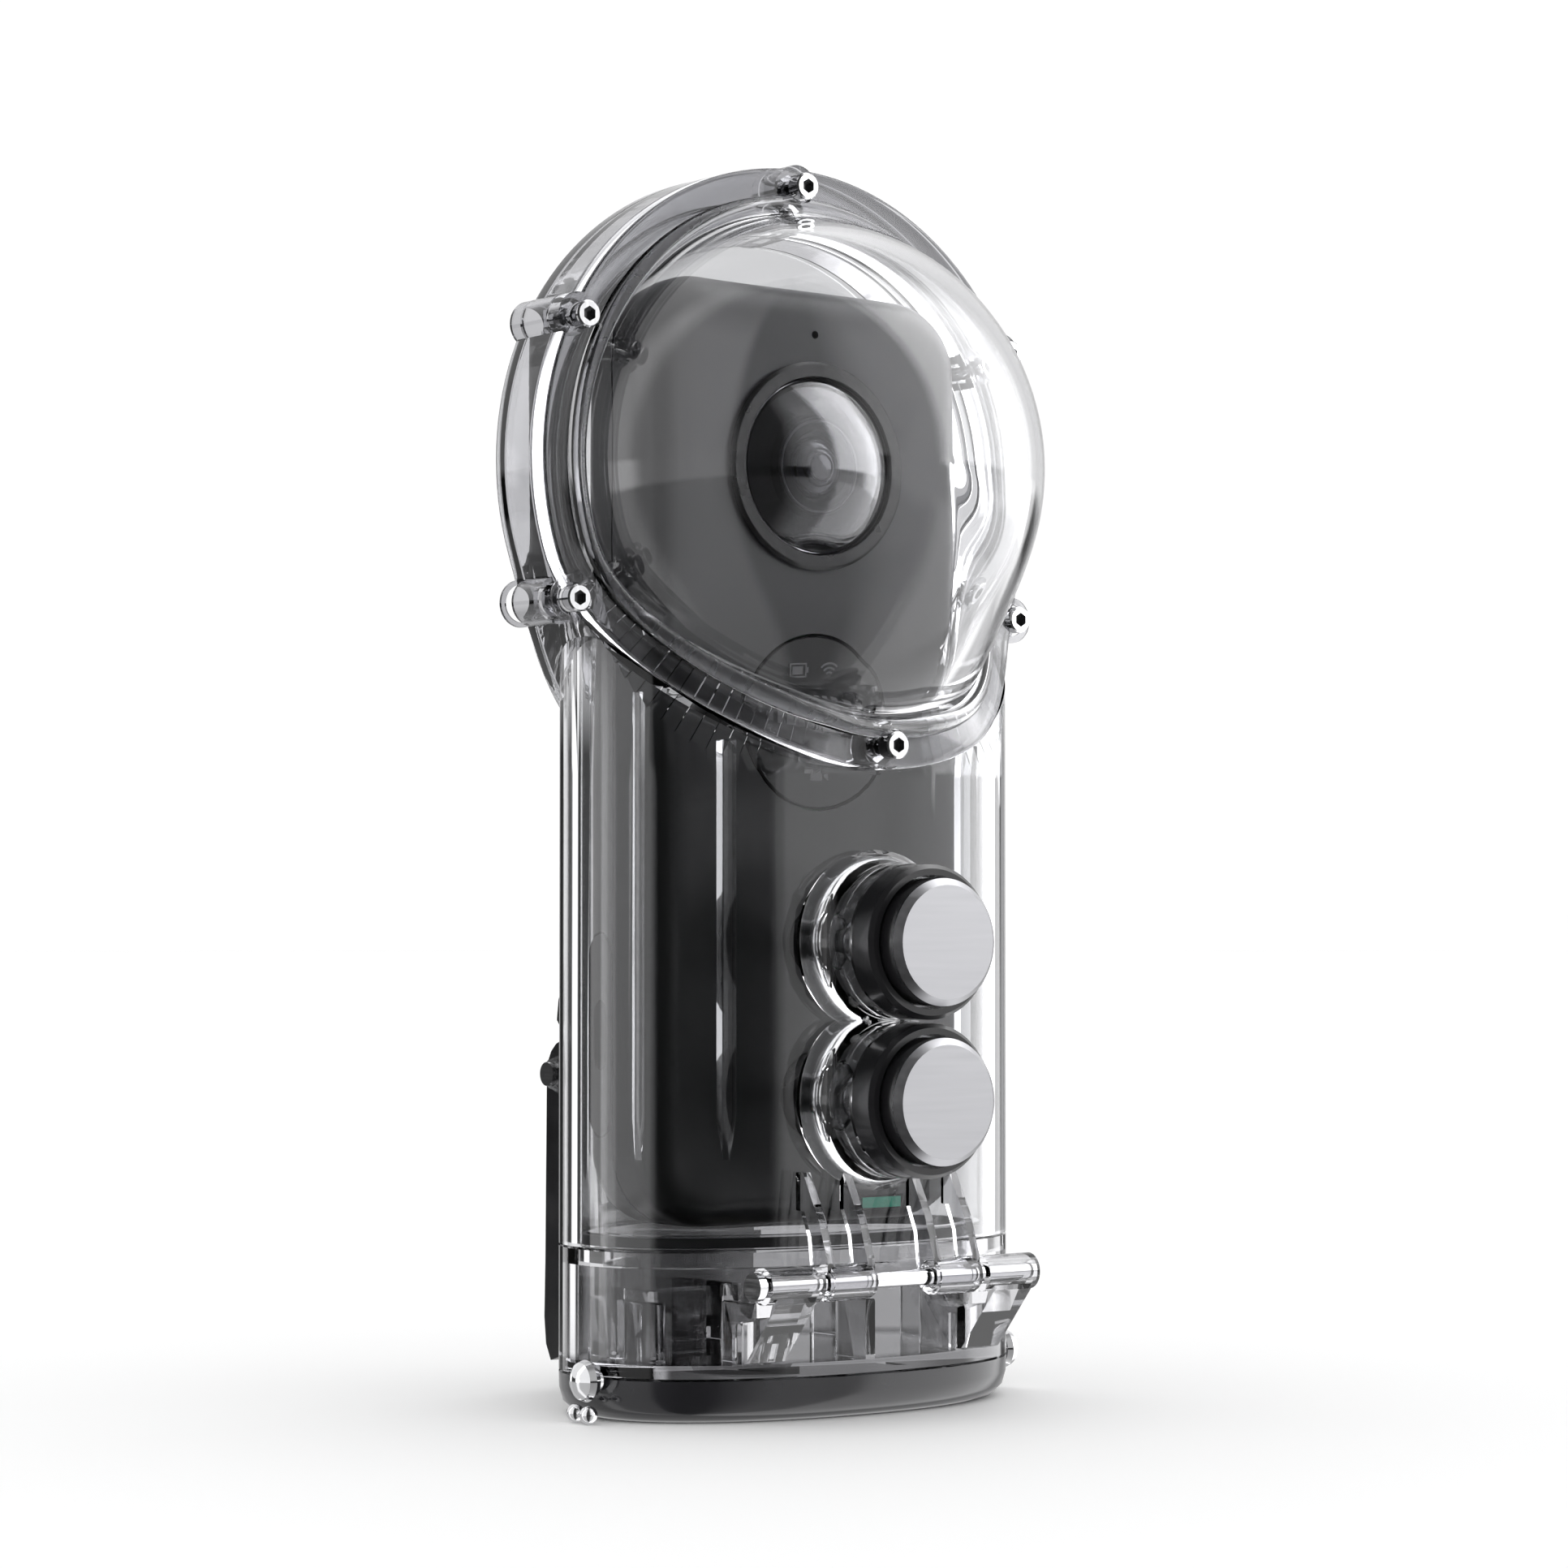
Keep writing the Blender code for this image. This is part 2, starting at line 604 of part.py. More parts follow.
# ---------------------------------------------------------------- bottom lid
LID_WALL = 2.4
LID_FLOOR_TOP = 6.8
SPIGOT_TOP = 22.0
SPIGOT_CLEARANCE = 1.0
RIB_COUNT = 10
INSERT_RADIUS = 5.0
INSERT_BORE = 3.2
CATCH_Q = -24.6                # back of the ledge that the latch's foot stands behind
CATCH_Z = (9.2, 12.6)
HOOK_HALF_WIDTH = 9.0
LID_EYE_END = 20.0


def arm_outline():
    """Side view (q, z) of one lid arm, from the lid's front wall to the hinge's eye."""
    outline = [(14.0, 6.6), (18.0, 7.4), (24.4, 14.8)]
    for i in range(9):
        angle = math.radians(-30 + 200 * i / 8)
        outline.append((HINGE_Q + EYE_CORE * math.cos(angle), HINGE_Z + EYE_CORE * math.sin(angle)))
    outline += [(19.2, 12.8), (14.0, 11.4)]
    return outline


def make_lid():
    lid = oval("bottom_lid", 0.0, BASE_TOP_Z + GAP, SEAM_Z)
    spigot_inset = TUBE_WALL + SPIGOT_CLEARANCE
    join(lid, oval("spigot", spigot_inset, SEAM_Z - 1.0, SPIGOT_TOP))
    cut(lid, oval("lid_hollow", spigot_inset + 1.5, 12.0, SPIGOT_TOP + 1.0))
    cut(lid, oval("lid_hollow_low", LID_WALL, LID_FLOOR_TOP, SEAM_Z - 2.0))
    for i in range(RIB_COUNT):
        angle = 2.0 * math.pi * (i + 0.5) / RIB_COUNT
        x, q = 25.0 * math.cos(angle), 13.6 * math.sin(angle)
        join(lid, block(f"lid_rib_{i}", (x - 0.7, x + 0.7), (q - 3.4, q + 3.4),
                        (LID_FLOOR_TOP - 0.5, 14.0)))
    for number, side in enumerate((-1, 1), start=1):
        low, high = sorted((side * 12.3, side * LID_EYE_END))
        join(lid, rod(f"lid_eye_{number}", "x", (low, HINGE_Q, HINGE_Z), (high, HINGE_Q, HINGE_Z),
                      KNUCKLE_RADIUS, sides=24))
        join(lid, flat_outline(f"lid_arm_{number}", arm_outline(), "x", low + 1.0, high - 1.0))
    join(lid, block("catch_ledge", (-HOOK_HALF_WIDTH, HOOK_HALF_WIDTH), (CATCH_Q, -17.0), CATCH_Z))
    cut(lid, rod("lid_hinge_bore", "x", (-30, HINGE_Q, HINGE_Z), (30, HINGE_Q, HINGE_Z),
                 PIN_HOLE_RADIUS, sides=16))
    link(shade(lid), CLEAR)


def make_base():
    """The dark plate under the lid, with a rounded foot."""
    levels = [(0.0, 3.2), (0.5, 1.6), (1.6, 0.5), (3.2, 0.05), (BASE_TOP_Z, 0.0)]
    sections = []
    for height, inset in levels:
        outline = superellipse(TUBE_HALF_WIDTH - inset, TUBE_HALF_DEPTH - inset, 48)
        sections.append([(x, q, height) for x, q in outline])
    base = loft("base_plate", sections)
    cut(base, rod("insert_seat", "z", (0, 0, -1), (0, 0, BASE_TOP_Z + 1), INSERT_RADIUS + GAP, sides=32))
    link(shade(base), SMOKE)

    insert = turned("tripod_insert", [(INSERT_BORE, BASE_TOP_Z - 0.1), (INSERT_RADIUS, BASE_TOP_Z - 0.1),
                                      (INSERT_RADIUS, 0.2), (INSERT_BORE + 0.4, 0.2), (INSERT_BORE, 0.6)],
                    0, 0, 0, steps=24, facing="up")
    link(shade(insert), BRASS)


def make_lid_seal():
    """An oval gasket round the lid's spigot, on the lid's rim."""
    low, high = SEAM_Z + GAP + 0.1, SPIGOT_TOP - 0.2
    seal = oval("lid_seal", TUBE_WALL + GAP, low, high)
    inner = oval("lid_seal_inner", TUBE_WALL + SPIGOT_CLEARANCE - 0.15, low - 1.0, high + 1.0)
    cut(seal, inner)
    link(shade(seal), BLACK_RUBBER)


LUG_X = 30.4
LUG_Z = 5.0


def make_lanyard_posts():
    """Polished mushroom posts for the strap, one on each end of the lid."""
    profile = [(0.0, 3.4), (1.3, 3.2), (2.2, 2.5), (2.5, 1.7), (2.2, 1.0), (1.3, 0.5), (1.3, 0.0), (0.0, 0.0)]
    for facing, x, q in (("left", -LUG_X, 3.8), ("right", LUG_X, 2.4)):
        post = turned(f"lanyard_post_{facing}", profile, x, q, LUG_Z, steps=16, facing=facing)
        link(shade(post), CHROME)
    toggle = rod("lanyard_toggle", "q", (-32.6, 2.4, 1.15), (-32.6, 5.2, 1.15), 0.45, sides=12)
    for number, q in enumerate((2.4, 5.2), start=1):
        bm = bmesh.new()
        bmesh.ops.create_uvsphere(bm, u_segments=12, v_segments=8, radius=1.1 * MM,
                                  matrix=Matrix.Translation(point(-32.6, q, 1.15)))
        join(toggle, object_from(f"toggle_ball_{number}", bm))
    link(shade(toggle), CHROME)


# ---------------------------------------------------------------- hinge pin and latch
def pin(name, start, end, radius, head_radius, head_thick):
    """A plain pin along X with a round head at its left end."""
    bm = bmesh.new()
    add_rod(bm, "x", start, end, radius, sides=20)
    obj = object_from(name, bm)
    head_start = (start[0] - head_thick + 0.2, start[1], start[2])
    head = rod(f"{name}_head", "x", head_start, (start[0] + 0.2, start[1], start[2]), head_radius, sides=20)
    join(obj, head)
    link(shade(obj), CHROME)


def lever_outline():
    """Side view (q, z) of the latch lever: round at the pivot, flat plate, thicker at its foot."""
    hub = 4.3
    outline = []
    for i in range(13):
        angle = math.radians(180 - 240 * i / 12)
        outline.append((LATCH_PIVOT_Q + hub * math.cos(angle), LATCH_PIVOT_Z + hub * math.sin(angle)))
    inner = LATCH_PIVOT_Q - 1.3
    outline += [(inner, 34.6), (inner, 9.0), (inner + 0.8, 6.0), (inner + 0.8, 4.4), (-30.2, 3.6),
                (-31.3, 5.6), (-31.7, 9.0), (-31.5, 16.0)]
    return outline


def make_latch():
    lever = flat_outline("latch_lever", lever_outline(), "x", -LATCH_HALF_WIDTH, LATCH_HALF_WIDTH)
    join(lever, block("hook", (-HOOK_HALF_WIDTH, HOOK_HALF_WIDTH), (-29.0, CATCH_Q - 0.5), (6.4, 10.6)))
    reach = LATCH_HALF_WIDTH + 1.0
    cut(lever, rod("lever_bore", "x", (-reach, LATCH_PIVOT_Q, LATCH_PIVOT_Z),
                   (reach, LATCH_PIVOT_Q, LATCH_PIVOT_Z), LATCH_PIN_RADIUS + GAP, sides=20))
    round_edges(lever, 0.5, segments=1, angle=50)
    link(shade(lever), BLACK)

    span = LATCH_HALF_WIDTH + 0.4 + LUG_THICK + 0.35
    pin("latch_pin", (-span, LATCH_PIVOT_Q, LATCH_PIVOT_Z), (span, LATCH_PIVOT_Q, LATCH_PIVOT_Z),
        LATCH_PIN_RADIUS, 1.5, 0.6)

    outline = [(-21.0, 45.9), (-30.2, 45.9), (-30.8, 46.6), (-30.4, 49.4), (-28.2, 53.0), (-21.0, 54.6)]
    lock = flat_outline("latch_lock", outline, "x", -LATCH_HALF_WIDTH + 1.0, LATCH_HALF_WIDTH - 1.0)
    clearance = RAIL_HALF_WIDTH + GAP
    cut(lock, block("lock_slot", (-clearance, clearance), (-21.4 - GAP, -10.0), (40.0, 60.0)))
    round_edges(lock, 0.4, segments=1, angle=50)
    link(shade(lock), BLACK)


# ---------------------------------------------------------------- push buttons
COLLAR_RADIUS = 9.2
COLLAR_FRONT_Q = 29.4
CAP_RADIUS = 7.55
CAP_FACE_RADIUS = 6.75
STEM_INNER_Q = 7.4             # just off the camera's button
RETAINER_Q = 14.3
SPRING_RADIUS = 4.6
SPRING_WIRE = 0.4
SPRING_TURNS = 4
SPRING_SPAN = (BUTTON_FLOOR_Q + 0.9, 29.4)


def make_spring(name, height):
    """A coil between the boss's floor and the cap."""
    curve = bpy.data.curves.new(name, "CURVE")
    curve.dimensions = "3D"
    curve.bevel_depth = SPRING_WIRE * MM
    curve.bevel_resolution = 1
    curve.use_fill_caps = True
    per_turn = 8
    count = SPRING_TURNS * per_turn + 1
    spline = curve.splines.new("POLY")
    spline.points.add(count - 1)
    for i, item in enumerate(spline.points):
        share = i / (count - 1)
        angle = 2.0 * math.pi * SPRING_TURNS * share
        q = SPRING_SPAN[0] + share * (SPRING_SPAN[1] - SPRING_SPAN[0])
        place = point(SPRING_RADIUS * math.cos(angle), q, height + SPRING_RADIUS * math.sin(angle))
        item.co = (*place, 1.0)
    return link(bpy.data.objects.new(name, curve), CHROME)


def make_button(tag, height):
    collar = turned(f"button_collar_{tag}",
                    [(CAP_RADIUS + 0.4, COLLAR_FRONT_Q), (COLLAR_RADIUS - 0.5, COLLAR_FRONT_Q),
                     (COLLAR_RADIUS, COLLAR_FRONT_Q - 0.5), (COLLAR_RADIUS, BUTTON_BOSS_Q + GAP),
                     (CAP_RADIUS + 0.4, BUTTON_BOSS_Q + GAP)], 0, 0, height, steps=32)
    notch = block(f"notch_{tag}", (7.0, 12.0), (27.4, 30.0), (height - 2.2, height + 2.2))
    cut(collar, notch)
    link(shade(collar), BLACK)

    inside = CAP_RADIUS - 1.2
    cap = turned(f"button_cap_{tag}",
                 [(0.0, BUTTON_FACE_Q), (CAP_FACE_RADIUS, BUTTON_FACE_Q), (CAP_RADIUS, BUTTON_FACE_Q - 0.8),
                  (CAP_RADIUS, 25.6), (inside, 25.6), (inside, 30.4), (STEM_RADIUS + 0.2, 30.4),
                  (STEM_RADIUS + 0.2, 31.2), (0.0, 31.2)], 0, 0, height, steps=28)
    link(shade(cap), CAP_METAL)

    radius = STEM_RADIUS
    stem = turned(f"button_stem_{tag}",
                  [(0.0, 31.0), (radius - 0.1, 31.0), (radius - 0.1, 28.2), (2.4, 28.2), (2.4, 27.4),
                   (radius, 27.4), (radius, RETAINER_Q + 0.45), (radius - 0.5, RETAINER_Q + 0.45),
                   (radius - 0.5, RETAINER_Q - 0.45), (radius, RETAINER_Q - 0.45),
                   (radius, STEM_INNER_Q + 0.4), (radius - 0.4, STEM_INNER_Q), (0.0, STEM_INNER_Q)],
                  0, 0, height, steps=16)
    link(shade(stem), CHROME)

    clip = turned(f"button_clip_{tag}",
                  [(radius - 0.3, RETAINER_Q + 0.25), (2.9, RETAINER_Q + 0.25), (2.9, RETAINER_Q - 0.25),
                   (radius - 0.3, RETAINER_Q - 0.25)], 0, 0, height, steps=20)
    link(shade(clip), CHROME)

    make_spring(f"button_spring_{tag}", height)

    ring = turned(f"button_seal_{tag}", [(radius + 0.15, 23.7), (2.7, 23.7), (2.9, 23.4), (2.7, 22.9),
                                         (radius + 0.15, 22.9)], 0, 0, height, steps=24)
    link(shade(ring), RUBBER)


# ---------------------------------------------------------------- the camera
SHELL_WALL = 1.6
CORNER_RADIUS = 9.0
LENS_HOLE_RADIUS = 11.1
LENS_RING_INNER = 11.15
LENS_RING_RADIUS = 13.0
DISPLAY_Z = 83.5
DISPLAY_RADIUS = 10.4
CAMERA_BUTTONS = {"upper": 4.0, "lower": 5.2}
PORT_Q = -5.6
PORT_Z = (33.3, 57.8)
LIGHT_X = (6.8, 12.6)
LIGHT_Z = (24.0, 25.3)


def slab_outline(inset):
    """Front view (x, z) of the camera: a rectangle with round corners, moved in by 'inset'."""
    radius = CORNER_RADIUS - inset
    half_width = CAMERA_HALF_WIDTH - CORNER_RADIUS
    low, high = CAMERA_BOTTOM + CORNER_RADIUS, CAMERA_TOP - CORNER_RADIUS
    outline = []
    for x, z, first in ((half_width, high, 0), (-half_width, high, 90), (-half_width, low, 180),
                        (half_width, low, 270)):
        for i in range(5):
            angle = math.radians(first + 90 * i / 4)
            outline.append((x + radius * math.cos(angle), z + radius * math.sin(angle)))
    return outline


def slab_levels(half, wall=0.0):
    """(depth from the middle plane, inset) pairs that round the camera's outer edge."""
    return [(half - 4.0, wall), (half - 2.0, wall + 0.6), (half - 0.6, wall + 2.0), (half, wall + 4.0)]


def slab(name, grow):
    """The camera's outer form, larger by 'grow', as a cutter for the space it slides into."""
    levels = slab_levels(CAMERA_HALF_THICK + grow)
    levels = [(-depth, inset) for depth, inset in levels[::-1]] + levels
    sections = [[(x, CAMERA_Q + depth, z) for x, z in slab_outline(inset - grow)]
                for depth, inset in levels]
    return loft(name, sections)


def camera_shell(name, side):
    """Half of the camera's case, with a rounded outer edge and open at the middle plane."""
    half = CAMERA_HALF_THICK
    levels = [(0.15, 0.0)] + slab_levels(half)
    sections = [[(x, CAMERA_Q + side * depth, z) for x, z in slab_outline(inset)]
                for depth, inset in levels]
    shell = loft(name, sections)
    hollow_levels = [(-1.0, SHELL_WALL), (half - 4.0, SHELL_WALL), (half - SHELL_WALL, 4.6)]
    hollow = [[(x, CAMERA_Q + side * depth, z) for x, z in slab_outline(inset)]
              for depth, inset in hollow_levels]
    cut(shell, loft(f"{name}_hollow", hollow))
    face = CAMERA_Q + side * half
    low, high = sorted((face - side * 4.0, face + side * 4.0))
    cut(shell, rod(f"{name}_lens_hole", "q", (0, low, HEAD_Z), (0, high, HEAD_Z), LENS_HOLE_RADIUS, sides=40))
    door_cut = block(f"{name}_door_cut", (22.7, 30.0), (-6.3, 1.7), (31.5, 72.5))
    cut(shell, door_cut)
    return shell


def pill_outline(half_width, low, high):
    """A slot outline (q or x, z) with round ends."""
    outline = []
    for z, first in ((high - half_width, 0), (low + half_width, 180)):
        for i in range(9):
            angle = math.radians(first + 180 * i / 8)
            outline.append((half_width * math.cos(angle), z + half_width * math.sin(angle)))
    return outline


def make_camera_shells():
    front = camera_shell("camera_front_shell", 1)
    face = CAMERA_Q + CAMERA_HALF_THICK
    cut(front, rod("display_hole", "q", (0, face - 4, DISPLAY_Z), (0, face + 4, DISPLAY_Z),
                   DISPLAY_RADIUS + GAP, sides=40))
    for tag, radius in CAMERA_BUTTONS.items():
        height = BUTTON_Z[tag]
        cut(front, rod(f"camera_button_hole_{tag}", "q", (0, face - 4, height), (0, face + 4, height),
                       radius + GAP, sides=32))
    cut(front, rod("microphone_hole", "q", (0, face - 4, 131.4), (0, face + 4, 131.4), 0.5, sides=10))
    cut(front, block("light_slot", (LIGHT_X[0] - GAP, LIGHT_X[1] + GAP), (face - 1.6, face + 3),
                     (LIGHT_Z[0] - GAP, LIGHT_Z[1] + GAP)))
    link(shade(front), BODY)

    rear = camera_shell("camera_rear_shell", -1)
    slot = [(q + PORT_Q, z) for q, z in pill_outline(2.75 + GAP, PORT_Z[0] - GAP, PORT_Z[1] + GAP)]
    cut(rear, flat_outline("port_slot", slot, "x", -30.0, -20.0))
    link(shade(rear), BODY)


def make_lens(tag, side):
    facing = "front" if side > 0 else "back"
    face = CAMERA_Q + side * CAMERA_HALF_THICK
    ring = turned(f"lens_ring_{tag}", [(LENS_RING_INNER, 1.0), (LENS_RING_RADIUS - 0.4, 1.0),
                                       (LENS_RING_RADIUS, 0.6), (LENS_RING_RADIUS, GAP), (LENS_RING_INNER, GAP)],
                  0, face, HEAD_Z, steps=28, facing=facing)
    link(shade(ring), TRIM)

    radius, rise, thick, skirt = 10.8, LENS_PROUD, 1.2, 0.6
    curve = (radius ** 2 + (rise - skirt) ** 2) / (2 * (rise - skirt))
    outer, inner = [], []
    for i in range(5):
        angle = math.asin(radius / curve) * i / 4
        outer.append((curve * math.sin(angle), curve * math.cos(angle) - curve + rise))
        inner.append(((curve - thick) * math.sin(angle), (curve - thick) * math.cos(angle) - curve + rise))
    outer.append((radius, inner[-1][1]))
    dome = turned(f"lens_dome_{tag}", outer + inner[::-1], 0, face, HEAD_Z, steps=24, facing=facing)
    link(shade(dome), GLASS)

    barrel = turned(f"lens_barrel_{tag}",
                    [(3.9, -0.4), (4.3, 0.5), (6.0, 0.5), (6.4, -0.6), (9.2, -1.5), (10.4, -1.5),
                     (10.4, -6.0), (3.9, -6.0)], 0, face, HEAD_Z, steps=24, facing=facing)
    link(shade(barrel), TRIM)

    element = turned(f"lens_element_{tag}", [(0.0, 1.2), (1.5, 1.0), (2.8, 0.5), (3.6, -0.4), (3.6, -2.2),
                                             (0.0, -2.2)], 0, face, HEAD_Z, steps=20, facing=facing)
    link(shade(element), GLASS)


def make_camera_details():
    face = CAMERA_Q + CAMERA_HALF_THICK
    window = turned("display_window", [(0.0, 0.0), (DISPLAY_RADIUS - 0.2, 0.0), (DISPLAY_RADIUS, -0.2),
                                       (DISPLAY_RADIUS, -1.1), (0.0, -1.1)], 0, face, DISPLAY_Z, steps=40)
    link(shade(window), DISPLAY)
    for tag, radius in CAMERA_BUTTONS.items():
        profile = [(0.0, 0.2), (radius - 0.5, 0.2), (radius, -0.2), (radius, -1.4), (0.0, -1.4)]
        key = turned(f"camera_button_{tag}", profile, 0, face, BUTTON_Z[tag], steps=32)
        link(shade(key), TRIM)
    light = block("status_light", LIGHT_X, (face - 1.3, face - 0.25), LIGHT_Z)
    link(light, GREEN)

    outline = [(q + PORT_Q, z) for q, z in pill_outline(2.75, *PORT_Z)]
    panel = flat_outline("usb_panel", outline, "x", -CAMERA_HALF_WIDTH, -CAMERA_HALF_WIDTH + 1.4)
    mouth = [(q + PORT_Q, z) for q, z in pill_outline(1.6, 41.3, 49.8)]
    cut(panel, flat_outline("usb_mouth", mouth, "x", -30.0, -20.0))
    link(panel, BODY)
    door = block("battery_door", (23.0, 23.95), (-6.0, 1.4), (31.8, 72.2))
    round_edges(door, 0.3, segments=1)
    link(door, BODY)
    cell = block("camera_battery", (-12.0, 20.0), (-8.4, -0.2), (28.0, 72.0))
    round_edges(cell, 1.5, segments=2)
    link(cell, CELL)
    board = block("camera_mainboard", (-20.0, 20.0), (1.4, 2.6), (28.0, 100.0))
    link(board, BOARD)


# ---------------------------------------------------------------- build
make_housing()
make_front_dome()
make_rear_dome()
make_dome_seal()
make_screws()
make_lid()
make_base()
make_lid_seal()
make_lanyard_posts()
pin("hinge_pin", (-20.6, HINGE_Q, HINGE_Z), (20.6, HINGE_Q, HINGE_Z), PIN_RADIUS, 1.7, 1.0)
make_latch()
for which, level in BUTTON_Z.items():
    make_button(which, level)
make_camera_shells()
make_lens("front", 1)
make_lens("rear", -1)
make_camera_details()
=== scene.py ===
"""Looks of the action camera in its clear dive housing.

Every CAD solid is replaced by a finer mesh of the same shape, made by the same formulas, with the
small forms that the solid leaves out. Lengths are millimetres, with x across, q forward (the front
is world -Y) and z up, from the tube's axis at the base; point() turns them into frame metres.
"""
import json
import math

import bmesh
import bpy
from mathutils import Matrix, Vector

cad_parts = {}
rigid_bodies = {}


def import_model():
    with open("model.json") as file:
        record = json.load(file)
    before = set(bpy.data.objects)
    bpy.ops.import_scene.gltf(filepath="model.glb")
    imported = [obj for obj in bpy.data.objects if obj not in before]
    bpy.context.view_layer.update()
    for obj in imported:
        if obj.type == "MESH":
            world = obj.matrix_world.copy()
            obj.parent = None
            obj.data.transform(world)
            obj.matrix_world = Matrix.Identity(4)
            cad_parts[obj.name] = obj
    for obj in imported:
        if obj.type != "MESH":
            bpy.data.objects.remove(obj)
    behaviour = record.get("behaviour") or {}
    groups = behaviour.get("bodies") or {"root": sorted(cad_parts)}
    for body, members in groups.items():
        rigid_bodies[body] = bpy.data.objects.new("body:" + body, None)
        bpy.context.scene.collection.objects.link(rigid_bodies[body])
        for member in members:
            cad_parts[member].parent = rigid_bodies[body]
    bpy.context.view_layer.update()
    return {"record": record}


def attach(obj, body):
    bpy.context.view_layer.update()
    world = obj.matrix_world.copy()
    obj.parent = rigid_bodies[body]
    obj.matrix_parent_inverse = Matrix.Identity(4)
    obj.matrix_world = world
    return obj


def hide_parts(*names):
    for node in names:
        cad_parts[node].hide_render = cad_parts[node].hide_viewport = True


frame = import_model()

DETAIL = 3                     # round forms have this many times the steps given for them

MM = 0.001
GAP = 0.3                      # clearance kept between touching pieces

# ---------------------------------------------------------------- driving dimensions (mm)
AXIS_SHIFT = -0.99             # world Y of the tube's axis, which centres the whole object

TUBE_HALF_WIDTH = 30.5
TUBE_HALF_DEPTH = 18.6
TUBE_POWER = 2.2               # superellipse exponent of the tube's section
TUBE_WALL = 2.8
SEAM_Z = 20.2                  # where the lid meets the tube
BASE_TOP_Z = 5.1

HEAD_Z = 115.0                 # height of the lens axis and of the head's centre
FLANGE_RADIUS = 37.4
DOME_RADIUS = 31.5             # where a dome's outer face meets its flange
DOME_WALL = 1.8
FLANGE_THICK = 2.4

CAMERA_Q = -2.3                # middle plane of the camera slab
CAMERA_HALF_THICK = 8.3
CAMERA_HALF_WIDTH = 24.0
CAMERA_BOTTOM = 22.4
CAMERA_TOP = 137.4
LENS_PROUD = 5.0

BUTTON_Z = {"upper": 56.9, "lower": 38.1}
BUTTON_FACE_Q = 32.4

HINGE_Q = 22.7
HINGE_Z = 16.8

LATCH_PIVOT_Q = -26.9
LATCH_PIVOT_Z = 40.0
LATCH_HALF_WIDTH = 15.0


class Cover:
    """Sizes of one domed cover; q is measured away from the tube's axis, towards its own side."""

    def __init__(self, side, centre_q, height, face_q, step, ramp_start, ramp_end):
        self.side = side                # +1 faces the front, -1 the back
        self.centre_q = centre_q        # plane of the dome's equator
        self.height = height            # apex above that plane
        self.face_q = face_q            # flange face at the top and sides
        self.step = step                # how far the flange moves out to clear the tube's wall
        self.ramp_start = math.radians(ramp_start)
        self.ramp_end = math.radians(ramp_end)

    def flange_face(self, angle):
        """Flange face for an angle round the head, 0 at the bottom."""
        share = (self.ramp_start - abs(angle)) / (self.ramp_start - self.ramp_end)
        share = min(1.0, max(0.0, share))
        return self.face_q + self.step * share * share * (3.0 - 2.0 * share)


FRONT = Cover(side=1, centre_q=0.5, height=32.0, face_q=2.4, step=18.2, ramp_start=72, ramp_end=13)
REAR = Cover(side=-1, centre_q=3.5, height=31.0, face_q=8.5, step=13.0, ramp_start=72, ramp_end=12)

# ---------------------------------------------------------------- materials


class Surface:
    """A Principled material under construction, with a shared set of node helpers."""

    def __init__(self, name, colour, roughness, **sockets):
        self.material = bpy.data.materials.new(name)
        self.material.use_nodes = True
        self.nodes = self.material.node_tree.nodes
        self.links = self.material.node_tree.links
        self.shader = self.nodes["Principled BSDF"]
        self.shader.inputs["Base Color"].default_value = (*colour, 1.0)
        self.shader.inputs["Roughness"].default_value = roughness
        for socket, value in sockets.items():
            self.shader.inputs[socket.replace("_", " ")].default_value = value
        self.coordinates = self.nodes.new("ShaderNodeTexCoord").outputs["Object"]
        self.material.diffuse_color = (*colour, 1.0)

    def noise(self, scale, detail=3.0, stretch=(1.0, 1.0, 1.0)):
        """Noise between 0 and 1; stretch sets how fine it is along each axis."""
        mapping = self.nodes.new("ShaderNodeMapping")
        mapping.inputs["Scale"].default_value = stretch
        self.links.new(self.coordinates, mapping.inputs["Vector"])
        texture = self.nodes.new("ShaderNodeTexNoise")
        texture.inputs["Scale"].default_value = scale
        texture.inputs["Detail"].default_value = detail
        self.links.new(mapping.outputs["Vector"], texture.inputs["Vector"])
        return texture.outputs["Fac"]

    def spread(self, value, low, high, source=(0.3, 0.7)):
        """A value remapped from its source range to another."""
        remap = self.nodes.new("ShaderNodeMapRange")
        for socket, number in zip(("From Min", "From Max", "To Min", "To Max"), (*source, low, high)):
            remap.inputs[socket].default_value = number
        self.links.new(value, remap.inputs["Value"])
        return remap.outputs["Result"]

    def ramp(self, value, stops):
        """A colour ramp over (position, colour) stops."""
        node = self.nodes.new("ShaderNodeValToRGB")
        elements = node.color_ramp.elements
        elements[0].position, elements[1].position = stops[0][0], stops[-1][0]
        elements[0].color, elements[1].color = (*stops[0][1], 1.0), (*stops[-1][1], 1.0)
        for position, colour in stops[1:-1]:
            elements.new(position).color = (*colour, 1.0)
        self.links.new(value, node.inputs["Fac"])
        return node.outputs["Color"]

    def rough(self, value, low, high):
        self.links.new(self.spread(value, low, high), self.shader.inputs["Roughness"])

    def colour(self, value, stops):
        self.links.new(self.ramp(value, stops), self.shader.inputs["Base Color"])

    def combined(self, operation, first, second):
        node = self.nodes.new("ShaderNodeMath")
        node.operation = operation
        self.links.new(first, node.inputs[0])
        self.links.new(second, node.inputs[1])
        return node.outputs["Value"]

    def larger(self, first, second):
        return self.combined("MAXIMUM", first, second)

    def both(self, first, second):
        return self.combined("MULTIPLY", first, second)

    def bump(self, value, strength, distance):
        """Bump of a real height, in metres."""
        node = self.nodes.new("ShaderNodeBump")
        node.inputs["Strength"].default_value = strength
        node.inputs["Distance"].default_value = distance
        self.links.new(value, node.inputs["Height"])
        self.links.new(node.outputs["Normal"], self.shader.inputs["Normal"])


